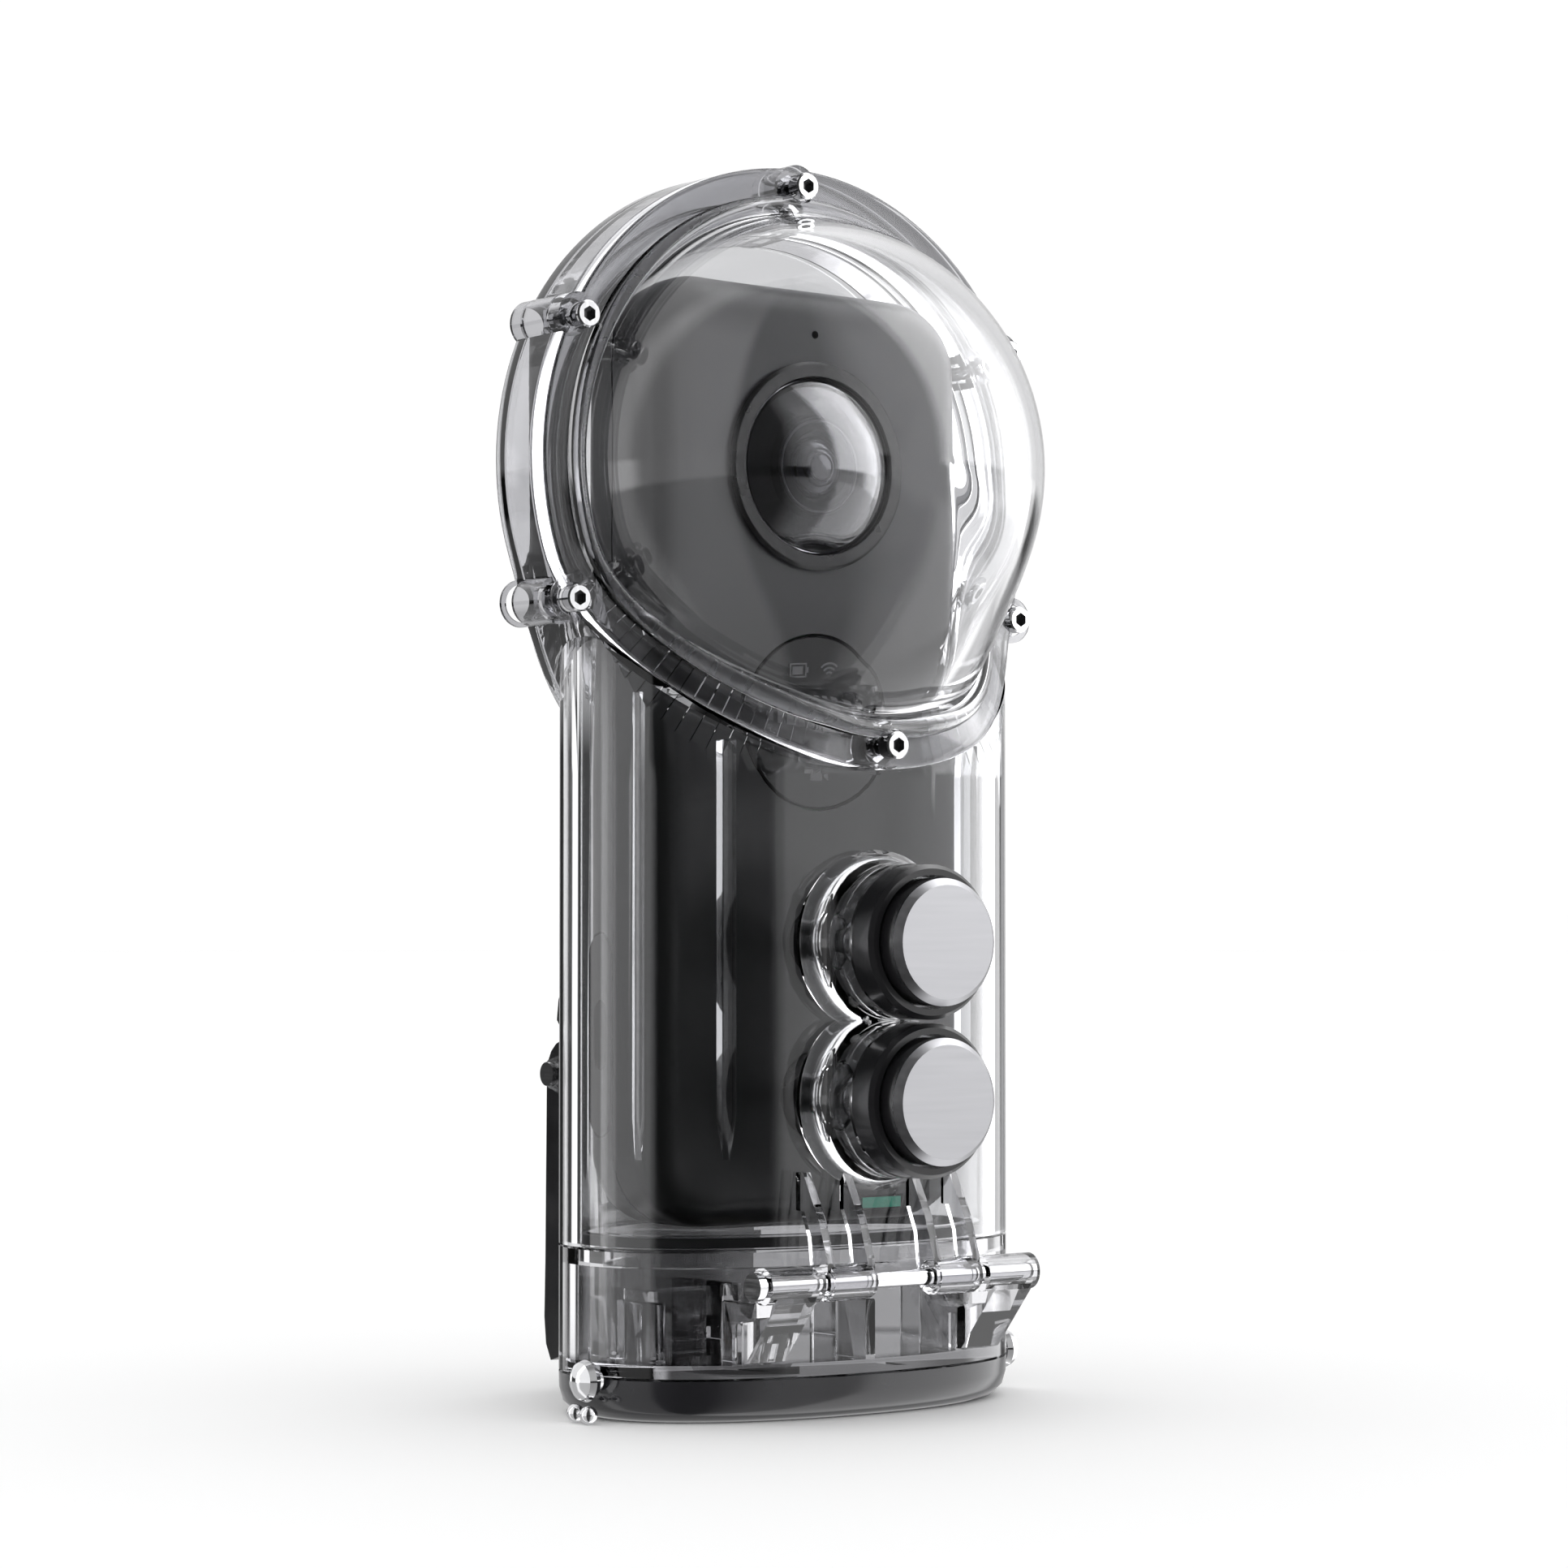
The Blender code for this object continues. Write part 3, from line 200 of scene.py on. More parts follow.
# where the painted shade sets in, a darker colour that stands in for dark reflections in thick plastic:
# (metres at its start, metres where it is full)
RING_SHADE = (0.0334, 0.0341)           # distance from the lens axis
TUBE_TOP_SHADE = (0.090, 0.094)         # height
LID_FLOOR_SHADE = (0.0074, 0.0068)      # height
RIB_FRONT_SHADE = (-0.0205, -0.0215)    # world Y
RIB_FOOT_SHADE = (0.033, 0.030)         # height


def clear_plastic(name, tint, painted_shade=None, where=None):
    """Moulded polycarbonate: faint flow waves and hairline wear, with painted shade in one region."""
    surface = Surface(name, tint, 0.01, Transmission_Weight=1.0, IOR=1.5)
    drift = surface.noise(35.0)
    if where == "round the head":
        middle = surface.nodes.new("ShaderNodeVectorMath")
        middle.operation = "MULTIPLY_ADD"
        middle.inputs[1].default_value = (1.0, 0.0, 1.0)
        middle.inputs[2].default_value = (0.0, 0.0, -HEAD_Z * MM)
        surface.links.new(surface.coordinates, middle.inputs[0])
        length = surface.nodes.new("ShaderNodeVectorMath")
        length.operation = "LENGTH"
        surface.links.new(middle.outputs["Vector"], length.inputs[0])
        measure, source = length.outputs["Value"], RING_SHADE
    elif where:
        split = surface.nodes.new("ShaderNodeSeparateXYZ")
        surface.links.new(surface.coordinates, split.inputs["Vector"])
        measure = split.outputs["Z"]
        source = TUBE_TOP_SHADE if where == "above the tube" else LID_FLOOR_SHADE
    # Painted shade: the colour darkens by position, round the head, on the hinge ribs or at the lid's floor.
    if where:
        share = surface.spread(measure, 0.0, 1.0, source)
        if where == "above the tube":
            ribs = surface.both(surface.spread(split.outputs["Y"], 0.0, 1.0, RIB_FRONT_SHADE),
                                surface.spread(split.outputs["Z"], 0.0, 1.0, RIB_FOOT_SHADE))
            share = surface.larger(share, ribs)
        surface.colour(share, [(0.0, tint), (1.0, painted_shade)])
    else:
        lighter = tuple(min(1.0, part * 1.03) for part in tint)
        surface.colour(drift, [(0.35, tint), (0.65, lighter)])
    surface.rough(surface.noise(700.0, 6.0, (1.0, 1.0, 0.15)), 0.0, 0.015)
    surface.bump(drift, 0.2, 0.00005)
    return surface.material


def steel(name, colour, low, high):
    """Polished steel with fine scratches."""
    surface = Surface(name, colour, low, Metallic=1.0)
    surface.rough(surface.noise(2500.0, 4.0, (1.0, 0.1, 1.0)), low, high)
    surface.bump(surface.noise(900.0, 4.0), 0.08, 0.00003)
    return surface.material


def plastic(name, dark, light, low, high, grain, height, coat=0.0):
    """Moulded plastic with a fine texture, a slight mottle and uneven gloss."""
    surface = Surface(name, light, low, Coat_Weight=coat, Coat_Roughness=0.08)
    surface.colour(surface.noise(60.0, 4.0), [(0.3, dark), (0.7, light)])
    surface.rough(surface.noise(180.0, 5.0), low, high)
    surface.bump(surface.noise(grain, 2.0), 0.35, height)
    return surface.material


SHELL_SHADE_FADE = (0.078, 0.100)            # heights over which the shell's painted shade goes from black, inside the tube, to charcoal


def satin_body(name):
    """The camera's satin shell, with painted shade: black low down inside the thick tube, charcoal higher up
    inside the thin domes.
    """
    surface = Surface(name, (0.02, 0.02, 0.0205), 0.4)
    split = surface.nodes.new("ShaderNodeSeparateXYZ")
    surface.links.new(surface.coordinates, split.inputs["Vector"])
    # Painted shade: the colour is darker low down and lighter higher up.
    rise = surface.spread(split.outputs["Z"], 0.0, 1.0, SHELL_SHADE_FADE)
    mottle = surface.spread(surface.noise(60.0, 4.0), 0.0, 0.06)
    surface.colour(surface.combined("ADD", rise, mottle),
                   [(0.0, (0.010, 0.010, 0.0105)), (1.0, (0.052, 0.052, 0.055))])
    surface.rough(surface.noise(180.0, 5.0), 0.34, 0.44)
    surface.bump(surface.noise(5000.0, 2.0), 0.1, 0.000002)
    return surface.material


def brushed_metal(name):
    """A lathe-finished cap: fine rings across the face, with streaks in the gloss."""
    surface = Surface(name, (0.46, 0.46, 0.48), 0.3, Metallic=1.0)
    streaks = surface.noise(1600.0, 5.0, (0.05, 1.0, 1.0))
    surface.colour(streaks, [(0.3, (0.45, 0.45, 0.465)), (0.7, (0.475, 0.475, 0.49))])
    surface.rough(streaks, 0.28, 0.36)
    surface.bump(streaks, 0.05, 0.00001)
    return surface.material


def lens_glass(name, tint, roughness):
    """Polished lens glass."""
    surface = Surface(name, tint, roughness, Transmission_Weight=1.0, IOR=1.8)
    surface.colour(surface.noise(150.0), [(0.3, tint), (0.7, tuple(0.97 * part for part in tint))])
    surface.rough(surface.noise(400.0, 3.0), 0.0, roughness)
    return surface.material


def silicone(name):
    """Soft translucent seal."""
    surface = Surface(name, (0.85, 0.85, 0.87), 0.3, Transmission_Weight=0.88, IOR=1.42)
    surface.colour(surface.noise(300.0), [(0.3, (0.80, 0.80, 0.82)), (0.7, (0.90, 0.90, 0.92))])
    surface.rough(surface.noise(800.0, 3.0), 0.2, 0.4)
    surface.bump(surface.noise(1500.0), 0.2, 0.00001)
    return surface.material


CLEAR = clear_plastic("clear_polycarbonate", (0.90, 0.905, 0.915))
# Painted shade by position: the housing darkens round the head and on its hinge ribs, both covers on their
# flanges, and the lid at its floor.
HOUSING_CLEAR = clear_plastic("housing_polycarbonate", (0.90, 0.903, 0.912), (0.60, 0.60, 0.615),
                              "above the tube")
COVER_CLEAR = clear_plastic("cover_polycarbonate", (0.96, 0.962, 0.968), (0.66, 0.66, 0.675),
                            "round the head")
REAR_CLEAR = clear_plastic("rear_polycarbonate", (0.76, 0.762, 0.768), (0.55, 0.55, 0.565),
                           "round the head")
LID_CLEAR = clear_plastic("lid_polycarbonate", (0.70, 0.70, 0.71), (0.25, 0.25, 0.26), "at the floor")
CHROME = steel("polished_steel", (0.86, 0.86, 0.87), 0.04, 0.14)
CAP_METAL = brushed_metal("brushed_aluminium")
BLACK = plastic("black_plastic", (0.006, 0.006, 0.007), (0.012, 0.012, 0.013), 0.14, 0.26, 1500.0, 0.00001,
                coat=0.4)
SMOKE = plastic("smoked_base", (0.012, 0.012, 0.014), (0.03, 0.03, 0.034), 0.10, 0.20, 900.0, 0.00001,
                coat=0.5)
RUBBER = silicone("seal_rubber")
MATTE = plastic("lens_baffle", (0.002, 0.002, 0.002), (0.004, 0.004, 0.0045), 0.6, 0.75, 1500.0, 0.00001)
BLACK_RUBBER = plastic("black_rubber", (0.008, 0.008, 0.009), (0.016, 0.016, 0.017), 0.45, 0.6, 1200.0,
                       0.00001)
BODY = satin_body("camera_body")
TRIM = plastic("camera_trim", (0.006, 0.006, 0.007), (0.014, 0.014, 0.015), 0.18, 0.3, 1500.0, 0.00001)
GLASS = lens_glass("lens_glass", (0.85, 0.85, 0.88), 0.003)
COATED = plastic("coated_lens", (0.020, 0.019, 0.026), (0.050, 0.048, 0.062), 0.03, 0.08, 300.0, 0.000002,
                 coat=1.0)
DISPLAY = plastic("display_glass", (0.018, 0.018, 0.019), (0.024, 0.024, 0.025), 0.05, 0.12, 300.0, 0.000004)
BRASS = steel("insert_brass", (0.70, 0.55, 0.28), 0.2, 0.35)
GREEN = plastic("status_green", (0.01, 0.32, 0.20), (0.03, 0.50, 0.34), 0.2, 0.3, 700.0, 0.00001)
BOARD = plastic("circuit_board", (0.01, 0.05, 0.025), (0.03, 0.13, 0.06), 0.35, 0.5, 900.0, 0.00002)
CELL = plastic("battery_wrap", (0.05, 0.06, 0.09), (0.10, 0.11, 0.15), 0.4, 0.55, 800.0, 0.00002)
INK = plastic("display_ink", (0.18, 0.18, 0.184), (0.24, 0.24, 0.245), 0.4, 0.5, 900.0, 0.000005)

# ---------------------------------------------------------------- pieces and their bodies

cutters = bpy.data.collections.new("cutters")
bpy.context.scene.collection.children.link(cutters)
BODY_OF = {node: body for body, nodes in frame["record"]["behaviour"]["bodies"].items() for node in nodes}


def point(x, q, z):
    """Frame position, in metres, of a place given by x, q and z."""
    return Vector((x, AXIS_SHIFT - q, z)) * MM


SHARP_ANGLE = math.radians(30.0)


def finished(obj, material, node=None):
    """Bake a piece's modifiers, shade it, and let it stand for its CAD node (or join that node's body)."""
    bpy.context.scene.collection.objects.link(obj)
    graph = bpy.context.evaluated_depsgraph_get()
    mesh = bpy.data.meshes.new_from_object(obj.evaluated_get(graph))
    label = obj.name.split(".")[0]
    piece = bpy.data.objects.new(f"fine_{label}", mesh)
    piece.matrix_world = obj.matrix_world.copy()
    bpy.context.scene.collection.objects.link(piece)
    for tool in [obj, *cutters.objects]:
        bpy.data.objects.remove(tool, do_unlink=True)
    mesh.materials.clear()
    mesh.materials.append(material)
    mesh.shade_smooth()
    mesh.set_sharp_from_angle(angle=SHARP_ANGLE)
    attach(piece, BODY_OF[node or label])
    if node is None:
        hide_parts(label)
    return piece


# ---------------------------------------------------------------- mesh helpers


def object_from(name, bm):
    """A new object from a bmesh whose coordinates are already metres."""
    bmesh.ops.recalc_face_normals(bm, faces=bm.faces)
    mesh = bpy.data.meshes.new(name)
    bm.to_mesh(mesh)
    bm.free()
    return bpy.data.objects.new(name, mesh)


def add_block(bm, x_range, q_range, z_range):
    """A box between two corners, added to a bmesh."""
    size = [b - a for a, b in (x_range, q_range, z_range)]
    middle = [(a + b) / 2.0 for a, b in (x_range, q_range, z_range)]
    place = Matrix.Translation(point(*middle)) @ Matrix.Diagonal((*(Vector(size) * MM), 1.0))
    bmesh.ops.create_cube(bm, size=1.0, matrix=place)


def add_rod(bm, axis, start, end, radius, sides=24):
    """A cylinder along one axis ('x', 'q' or 'z') between two places."""
    low, high = point(*start), point(*end)
    turn = {"x": Matrix.Rotation(math.pi / 2, 4, "Y"),
            "q": Matrix.Rotation(math.pi / 2, 4, "X"),
            "z": Matrix.Identity(4)}[axis]
    place = Matrix.Translation((low + high) / 2.0) @ turn
    sides = sides if sides <= 6 else sides * DETAIL
    bmesh.ops.create_cone(bm, cap_ends=True, segments=sides, radius1=radius * MM,
                          radius2=radius * MM, depth=(high - low).length, matrix=place)


def block(name, *ranges):
    """A loose box object."""
    bm = bmesh.new()
    add_block(bm, *ranges)
    return object_from(name, bm)


def rod(name, *args, **kwargs):
    """A loose cylinder object."""
    bm = bmesh.new()
    add_rod(bm, *args, **kwargs)
    return object_from(name, bm)


def arc(a, b, radius, first, sweep, steps):
    """Points on an arc about (a, b), from the angle 'first' through 'sweep', in degrees."""
    angles = [math.radians(first + sweep * i / steps) for i in range(steps + 1)]
    return [(a + radius * math.cos(angle), b + radius * math.sin(angle)) for angle in angles]


def add_skin(bm, rings):
    """A closed skin through rings of vertices, with a face over each end."""
    bm.faces.new(rings[0])
    bm.faces.new(rings[-1])
    count = len(rings[0])
    for lower, upper in zip(rings, rings[1:]):
        for i in range(count):
            j = (i + 1) % count
            bm.faces.new((lower[i], lower[j], upper[j], upper[i]))


def flat_outline(name, outline, along, low, high):
    """A closed outline extruded along 'x', 'q' or 'z'; its points are the other two coordinates."""
    order = {"x": lambda a, b, c: (c, a, b), "q": lambda a, b, c: (a, c, b),
             "z": lambda a, b, c: (a, b, c)}[along]
    bm = bmesh.new()
    add_skin(bm, [[bm.verts.new(point(*order(a, b, level))) for a, b in outline] for level in (low, high)])
    return object_from(name, bm)


def boolean(target, tool, operation):
    """Cut or join a target with another object; finished() applies it and removes the cutter."""
    if tool.name not in cutters.objects:
        cutters.objects.link(tool)
        tool.hide_render = True
    modifier = target.modifiers.new(tool.name, "BOOLEAN")
    modifier.operation = operation
    modifier.object = tool
    modifier.solver = "MANIFOLD"


def cut(target, *tools):
    for tool in tools:
        boolean(target, tool, "DIFFERENCE")


def join(target, *tools):
    for tool in tools:
        boolean(target, tool, "UNION")


def round_edges(obj, width, segments=2, angle=40.0):
    modifier = obj.modifiers.new("rounded", "BEVEL")
    modifier.width = width * MM
    modifier.segments = segments
    modifier.limit_method = "ANGLE"
    modifier.angle_limit = math.radians(angle)


def turned(name, profile, x, q, z, steps=32, facing="front"):
    """A turned piece: profile points are (radius, height), the height running towards 'facing'."""
    doubled_area = sum(a[0] * b[1] - b[0] * a[1] for a, b in zip(profile, profile[1:] + profile[:1]))
    if doubled_area > 0.0:              # the outer side has to run downwards
        profile = profile[::-1]
    mesh = bpy.data.meshes.new(name)
    verts = [(radius * MM, 0.0, height * MM) for radius, height in profile]
    closed = profile[0][0] > 0.0 and profile[-1][0] > 0.0
    edges = [(i, i + 1) for i in range(len(verts) - 1)]
    if closed:
        edges.append((len(verts) - 1, 0))
    mesh.from_pydata(verts, edges, [])
    obj = bpy.data.objects.new(name, mesh)
    screw = obj.modifiers.new("turned", "SCREW")
    screw.steps = steps * DETAIL
    screw.render_steps = steps * DETAIL
    screw.use_merge_vertices = True
    screw.merge_threshold = 0.00001
    angles = {"front": (math.pi / 2, 0, 0), "back": (-math.pi / 2, 0, 0), "up": (0, 0, 0),
              "right": (0, math.pi / 2, 0), "left": (0, -math.pi / 2, 0)}
    obj.rotation_euler = angles[facing]
    obj.location = point(x, q, z)
    return obj


OVAL_STEPS = 48 * DETAIL


def superellipse(inset):
    """Outline points (x, q) of the tube's oval section, moved in by 'inset'."""
    outline = []
    for i in range(OVAL_STEPS):
        angle = 2.0 * math.pi * i / OVAL_STEPS
        c, s = math.cos(angle), math.sin(angle)
        outline.append(((TUBE_HALF_WIDTH - inset) * math.copysign(abs(c) ** (2.0 / TUBE_POWER), c),
                        (TUBE_HALF_DEPTH - inset) * math.copysign(abs(s) ** (2.0 / TUBE_POWER), s)))
    return outline


def oval(name, inset, low, high):
    """An oval prism of the tube's section, moved in by 'inset'."""
    return flat_outline(name, superellipse(inset), "z", low, high)


def loft(name, sections):
    """A closed solid through equal-length closed outlines of (x, q, z) points."""
    bm = bmesh.new()
    add_skin(bm, [[bm.verts.new(point(*p)) for p in section] for section in sections])
    return object_from(name, bm)


# ---------------------------------------------------------------- head shapes
SEAL_INNER = 31.0
SEAL_OUTER = 32.1
HEAD_STEPS = 48 * DETAIL


def around_head(radius, angle, q):
    """A place on the head: angle 0 is straight down, growing towards +X."""
    return (radius * math.sin(angle), q, HEAD_Z - radius * math.cos(angle))


HEAD_ANGLES = [-math.pi + 2.0 * math.pi * i / HEAD_STEPS for i in range(HEAD_STEPS)]


def split_quad(bm, a, b, c, d):
    """Two triangles with the diagonal a-c, so that facing surfaces share the same creases."""
    bm.faces.new((a, b, c))
    bm.faces.new((a, c, d))


def head_band(name, radii, back_q, front_q):
    """A washer round the head, on rings of the given radii; both faces are functions of the angle."""
    bm = bmesh.new()
    rings = []
    for face, order in ((front_q, radii[::-1]), (back_q, radii)):
        for radius in order:
            rings.append([bm.verts.new(point(*around_head(radius, a, face(a)))) for a in HEAD_ANGLES])
    for this, following in zip(rings, rings[1:] + rings[:1]):
        for i in range(HEAD_STEPS):
            j = (i + 1) % HEAD_STEPS
            split_quad(bm, this[i], following[i], following[j], this[j])
    return object_from(name, bm)


DOME_RINGS = 18


def dome_profile(cover, angle, wall):
    """(radius, q) points from the apex to the rim, on the outside (wall 0) or the inside."""
    rim = DOME_RADIUS - wall
    height = cover.height - wall
    face = cover.flange_face(angle) - (FLANGE_THICK if wall else 0.0)
    rise = max(0.0, (face - cover.centre_q) / height)
    reach = rim / math.sqrt(1.0 - rise * rise)
    last = math.asin(min(1.0, rim / reach))
    profile = []
    for i in range(1, DOME_RINGS + 1):
        turn = last * i / DOME_RINGS
        profile.append((reach * math.sin(turn), cover.centre_q + height * math.cos(turn)))
    return profile, face


BEAD_REACH = 2.4               # width of the rounded ring where a dome meets its flange
BEAD_RISE = 1.3
BEAD_STEPS = 8
EDGE_SOFT = 0.6


def bead(face):
    """The rounded ring at the foot of a dome, as (radius, q) points going outwards."""
    points = []
    for i in range(1, BEAD_STEPS + 1):
        turn = math.pi * i / BEAD_STEPS
        points.append((DOME_RADIUS + BEAD_REACH * (1.0 - math.cos(turn)) / 2.0,
                       face + BEAD_RISE * math.sin(turn)))
    return points


def flange_edge(face, contact):
    """The flange's rounded outer corner, down to its contact face."""
    points = []
    for i in range(5):
        turn = math.pi / 2.0 * i / 4
        points.append((FLANGE_RADIUS - EDGE_SOFT * (1.0 - math.sin(turn)),
                       face - EDGE_SOFT * (1.0 - math.cos(turn))))
    return points + [(FLANGE_RADIUS, contact)]


def domed_cover(name, cover):
    """A dome and its flange in one piece; the flange bends out to pass over the tube's wall."""
    bm = bmesh.new()
    columns = []
    for angle in HEAD_ANGLES:
        outer, face = dome_profile(cover, angle, 0.0)
        inner, contact = dome_profile(cover, angle, DOME_WALL)
        section = outer + bead(face) + flange_edge(face, contact)
        seal_lines = (SEAL_OUTER, SEAL_INNER) if cover is FRONT else ()
        section += [(r, contact) for r in (*seal_lines, DOME_RADIUS - DOME_WALL)]
        if inner[-1][1] < contact + 0.05:
            inner[-1] = (inner[-1][0] - 0.02, contact + 0.05)
        section += inner[::-1]
        columns.append([bm.verts.new(point(*around_head(r, angle, cover.side * q)))
                        for r, q in section])
    tips = [bm.verts.new(point(0.0, cover.side * (cover.centre_q + height), HEAD_Z))
            for height in (cover.height, cover.height - DOME_WALL)]
    for i in range(HEAD_STEPS):
        here, beside = columns[i], columns[(i + 1) % HEAD_STEPS]
        bm.faces.new((tips[0], here[0], beside[0]))
        bm.faces.new((tips[1], here[-1], beside[-1]))
        for k in range(len(here) - 1):
            split_quad(bm, here[k], here[k + 1], beside[k + 1], beside[k])
    return object_from(name, bm)


# ---------------------------------------------------------------- fasteners of the head
SCREW_HEAD_RADIUS = 1.65
SCREW_HEAD_HEIGHT = 2.0
SCREW_SHANK_RADIUS = 0.85
BOSS_RADIUS = 2.9
STEP = 0.05                    # a boss's ends lie this much below the faces it stands in
NUT_RADIUS = 1.9
NUT_THICK = 1.8
NUT_POCKET_RADIUS = 2.3
SCREW_PLACES = [(0.0, 35.0), (32.3, 16.6), (33.6, -17.3), (0.0, -34.6), (-33.6, -17.3), (-32.3, 16.6)]
LOWEST = SCREW_PLACES[3]
SCREW_SPAN = 6.2               # head face to nut centre


def screw_angle(place):
    return math.atan2(place[0], -place[1])


def is_lowest(place):
    return place == LOWEST


def screw_seat(place):
    """q under a screw's head: five sit in one plane, the lowest on the stepped-out flange."""
    face = FRONT.face_q + FRONT.step if is_lowest(place) else FRONT.face_q
    return face + GAP


# (number, x, z, q under the head) for each screw
SEATS = [(number, place[0], HEAD_Z + place[1], screw_seat(place))
         for number, place in enumerate(SCREW_PLACES, start=1)]


def span_of(curve, place):
    """Lowest and highest value of a flange curve across a boss."""
    middle = screw_angle(place)
    reach = BOSS_RADIUS / FLANGE_RADIUS * 1.2
    values = [curve(middle + share * reach) for share in (-1.0, -0.5, 0.0, 0.5, 1.0)]
    return min(values), max(values)


def hex_socket(name, across, axis_place, depth):
    """A six-sided cutter entering from the front."""
    x, q, z = axis_place
    return rod(name, "q", (x, q - depth, z), (x, q + 1.0, z), across / math.sqrt(3), sides=6)


SOCKET_DEPTH = 1.1


def make_screws():
    for number, x, z, seat in SEATS:
        length = SCREW_SPAN - SCREW_HEAD_HEIGHT + 0.6
        profile = [(0.0, SCREW_HEAD_HEIGHT), (SCREW_HEAD_RADIUS - 0.2, SCREW_HEAD_HEIGHT),
                   (SCREW_HEAD_RADIUS, SCREW_HEAD_HEIGHT - 0.2), (SCREW_HEAD_RADIUS, 0.0),
                   (SCREW_SHANK_RADIUS, 0.0), (SCREW_SHANK_RADIUS, 0.2 - length),
                   (SCREW_SHANK_RADIUS - 0.2, -length), (0.0, -length)]
        screw = turned(f"flange_screw_{number}", profile, x, seat, z, steps=14)
        cut(screw, hex_socket(f"socket_{number}", 1.6, (x, seat + SCREW_HEAD_HEIGHT, z), SOCKET_DEPTH))
        finished(screw, CHROME)
        # A black disc at the bottom of each hex socket: painted shade in the socket.
        floor_q = seat + SCREW_HEAD_HEIGHT - SOCKET_DEPTH
        floor = rod(f"socket_floor_{number}", "q", (x, floor_q, z), (x, floor_q + 0.15, z), 0.85, sides=24)
        finished(floor, BLACK, node=f"flange_screw_{number}")

        middle = seat + SCREW_HEAD_HEIGHT - SCREW_SPAN
        low, high = middle - NUT_THICK / 2, middle + NUT_THICK / 2
        nut = rod(f"flange_nut_{number}", "q", (x, low, z), (x, high, z), NUT_RADIUS, sides=6)
        bore = rod(f"nut_bore_{number}", "q", (x, low - 1, z), (x, high + 1, z), 1.1, sides=12)
        cut(nut, bore)
        finished(nut, CHROME)


def screw_holes(tag, radius):
    """Clearance holes for the shanks, through everything."""
    return [rod(f"{tag}_{number}", "q", (x, seat - 5.6, z), (x, seat + 3, z), radius, sides=16)
            for number, x, z, seat in SEATS]


def nut_pockets(tag):
    """Round pockets from the back for five nuts; the lowest nut's pocket is cut from the front."""
    pockets = []
    for number, place in enumerate(SCREW_PLACES, start=1):
        x, z, seat = place[0], HEAD_Z + place[1], screw_seat(place)
        middle = seat + SCREW_HEAD_HEIGHT - SCREW_SPAN
        if is_lowest(place):
            reach = (middle - NUT_THICK / 2 - GAP, seat - FLANGE_THICK - GAP / 2)
        else:
            reach = (-25.0, middle + NUT_THICK / 2 + GAP)
        pockets.append(rod(f"{tag}_{number}", "q", (x, reach[0], z), (x, reach[1], z),
                           NUT_POCKET_RADIUS, sides=20))
    return pockets


def bosses(tag, low_of, high_of, places=SCREW_PLACES):
    """Round bosses about the screws that stand past the flange's edge."""
    made = []
    for number, place in enumerate(places, start=1):
        x, z = place[0], HEAD_Z + place[1]
        made.append(rod(f"{tag}_{number}", "q", (x, low_of(place), z), (x, high_of(place), z),
                        BOSS_RADIUS, sides=20))
    return made


def front_contact(angle):
    """Back of the front cover's flange."""
    return FRONT.flange_face(angle) - FLANGE_THICK


def rear_contact(angle):
    """Front of the rear cover's flange, as q."""
    return -(REAR.flange_face(angle) - FLANGE_THICK)


def make_front_dome():
    cover = domed_cover("front_dome", FRONT)
    join(cover, *bosses("front_boss", lambda p: span_of(front_contact, p)[1] + STEP,
                        lambda p: span_of(FRONT.flange_face, p)[0] - STEP))
    for number, x, z, seat in SEATS:
        cut(cover, rod(f"spot_face_{number}", "q", (x, seat - GAP, z), (x, seat + 5, z), 2.0, sides=20))
    cut(cover, *screw_holes("front_hole", 1.15))
    finished(cover, COVER_CLEAR)


def make_rear_dome():
    cover = domed_cover("rear_dome", REAR)
    upper = [p for p in SCREW_PLACES if not is_lowest(p)]
    join(cover, *bosses("rear_boss", lambda p: -span_of(REAR.flange_face, p)[0] + STEP,
                        lambda p: span_of(rear_contact, p)[0] - STEP, upper))
    cut(cover, *[p for p in nut_pockets("rear_pocket") if not p.name.endswith("_4")])
    finished(cover, REAR_CLEAR)


SEAL_DEPTH = 1.0


def make_dome_seal():
    seal = head_band("dome_seal", [SEAL_INNER, SEAL_OUTER], lambda a: front_contact(a) - SEAL_DEPTH,
                     lambda a: front_contact(a) - GAP)
    finished(seal, RUBBER)


# ---------------------------------------------------------------- housing
BUTTON_BOSS_RADIUS = 9.3
BUTTON_BOSS_Q = 25.4
BUTTON_BORE_RADIUS = 7.9
BUTTON_FLOOR_Q = 20.6
STEM_RADIUS = 1.5
KNUCKLES = [(-11.4, -4.4), (4.4, 11.4)]
KNUCKLE_RADIUS = 2.2
EYE_CORE = 1.95                # radius of the ribs and arms inside the eyes
PIN_RADIUS = 0.95
PIN_HOLE_RADIUS = 1.3
LATCH_PIN_RADIUS = 1.0
LATCH_HUB_RADIUS = 4.3
LUG_RADIUS = 1.9
LUG_THICK = 1.7
RAIL_HALF_WIDTH = 4.0


def rib_outline():
    """Side view (q, z) of one hinge rib, from the tube's wall to the hinge's eye."""
    return [(16.6, 29.6), (19.0, 29.6), (22.2, 24.0), (23.9, 19.2),
            *arc(HINGE_Q, HINGE_Z, EYE_CORE, 50, -225, 8), (20.0, 22.0), (18.6, 25.0), (16.6, 25.2)]


def upper_cavity():
    """The tube's hollow inside the head, kept a wall's thickness behind both flanges."""
    middle = -3.0
    hollow = head_band("upper_cavity", [0.5, 48.5],
                       lambda a: min(rear_contact(a) + GAP + TUBE_WALL, middle - 0.2),
                       lambda a: max(front_contact(a) - GAP - TUBE_WALL, middle + 0.2))
    boolean(hollow, oval("upper_oval", TUBE_WALL, 60.0, HEAD_Z), "INTERSECT")
    return hollow


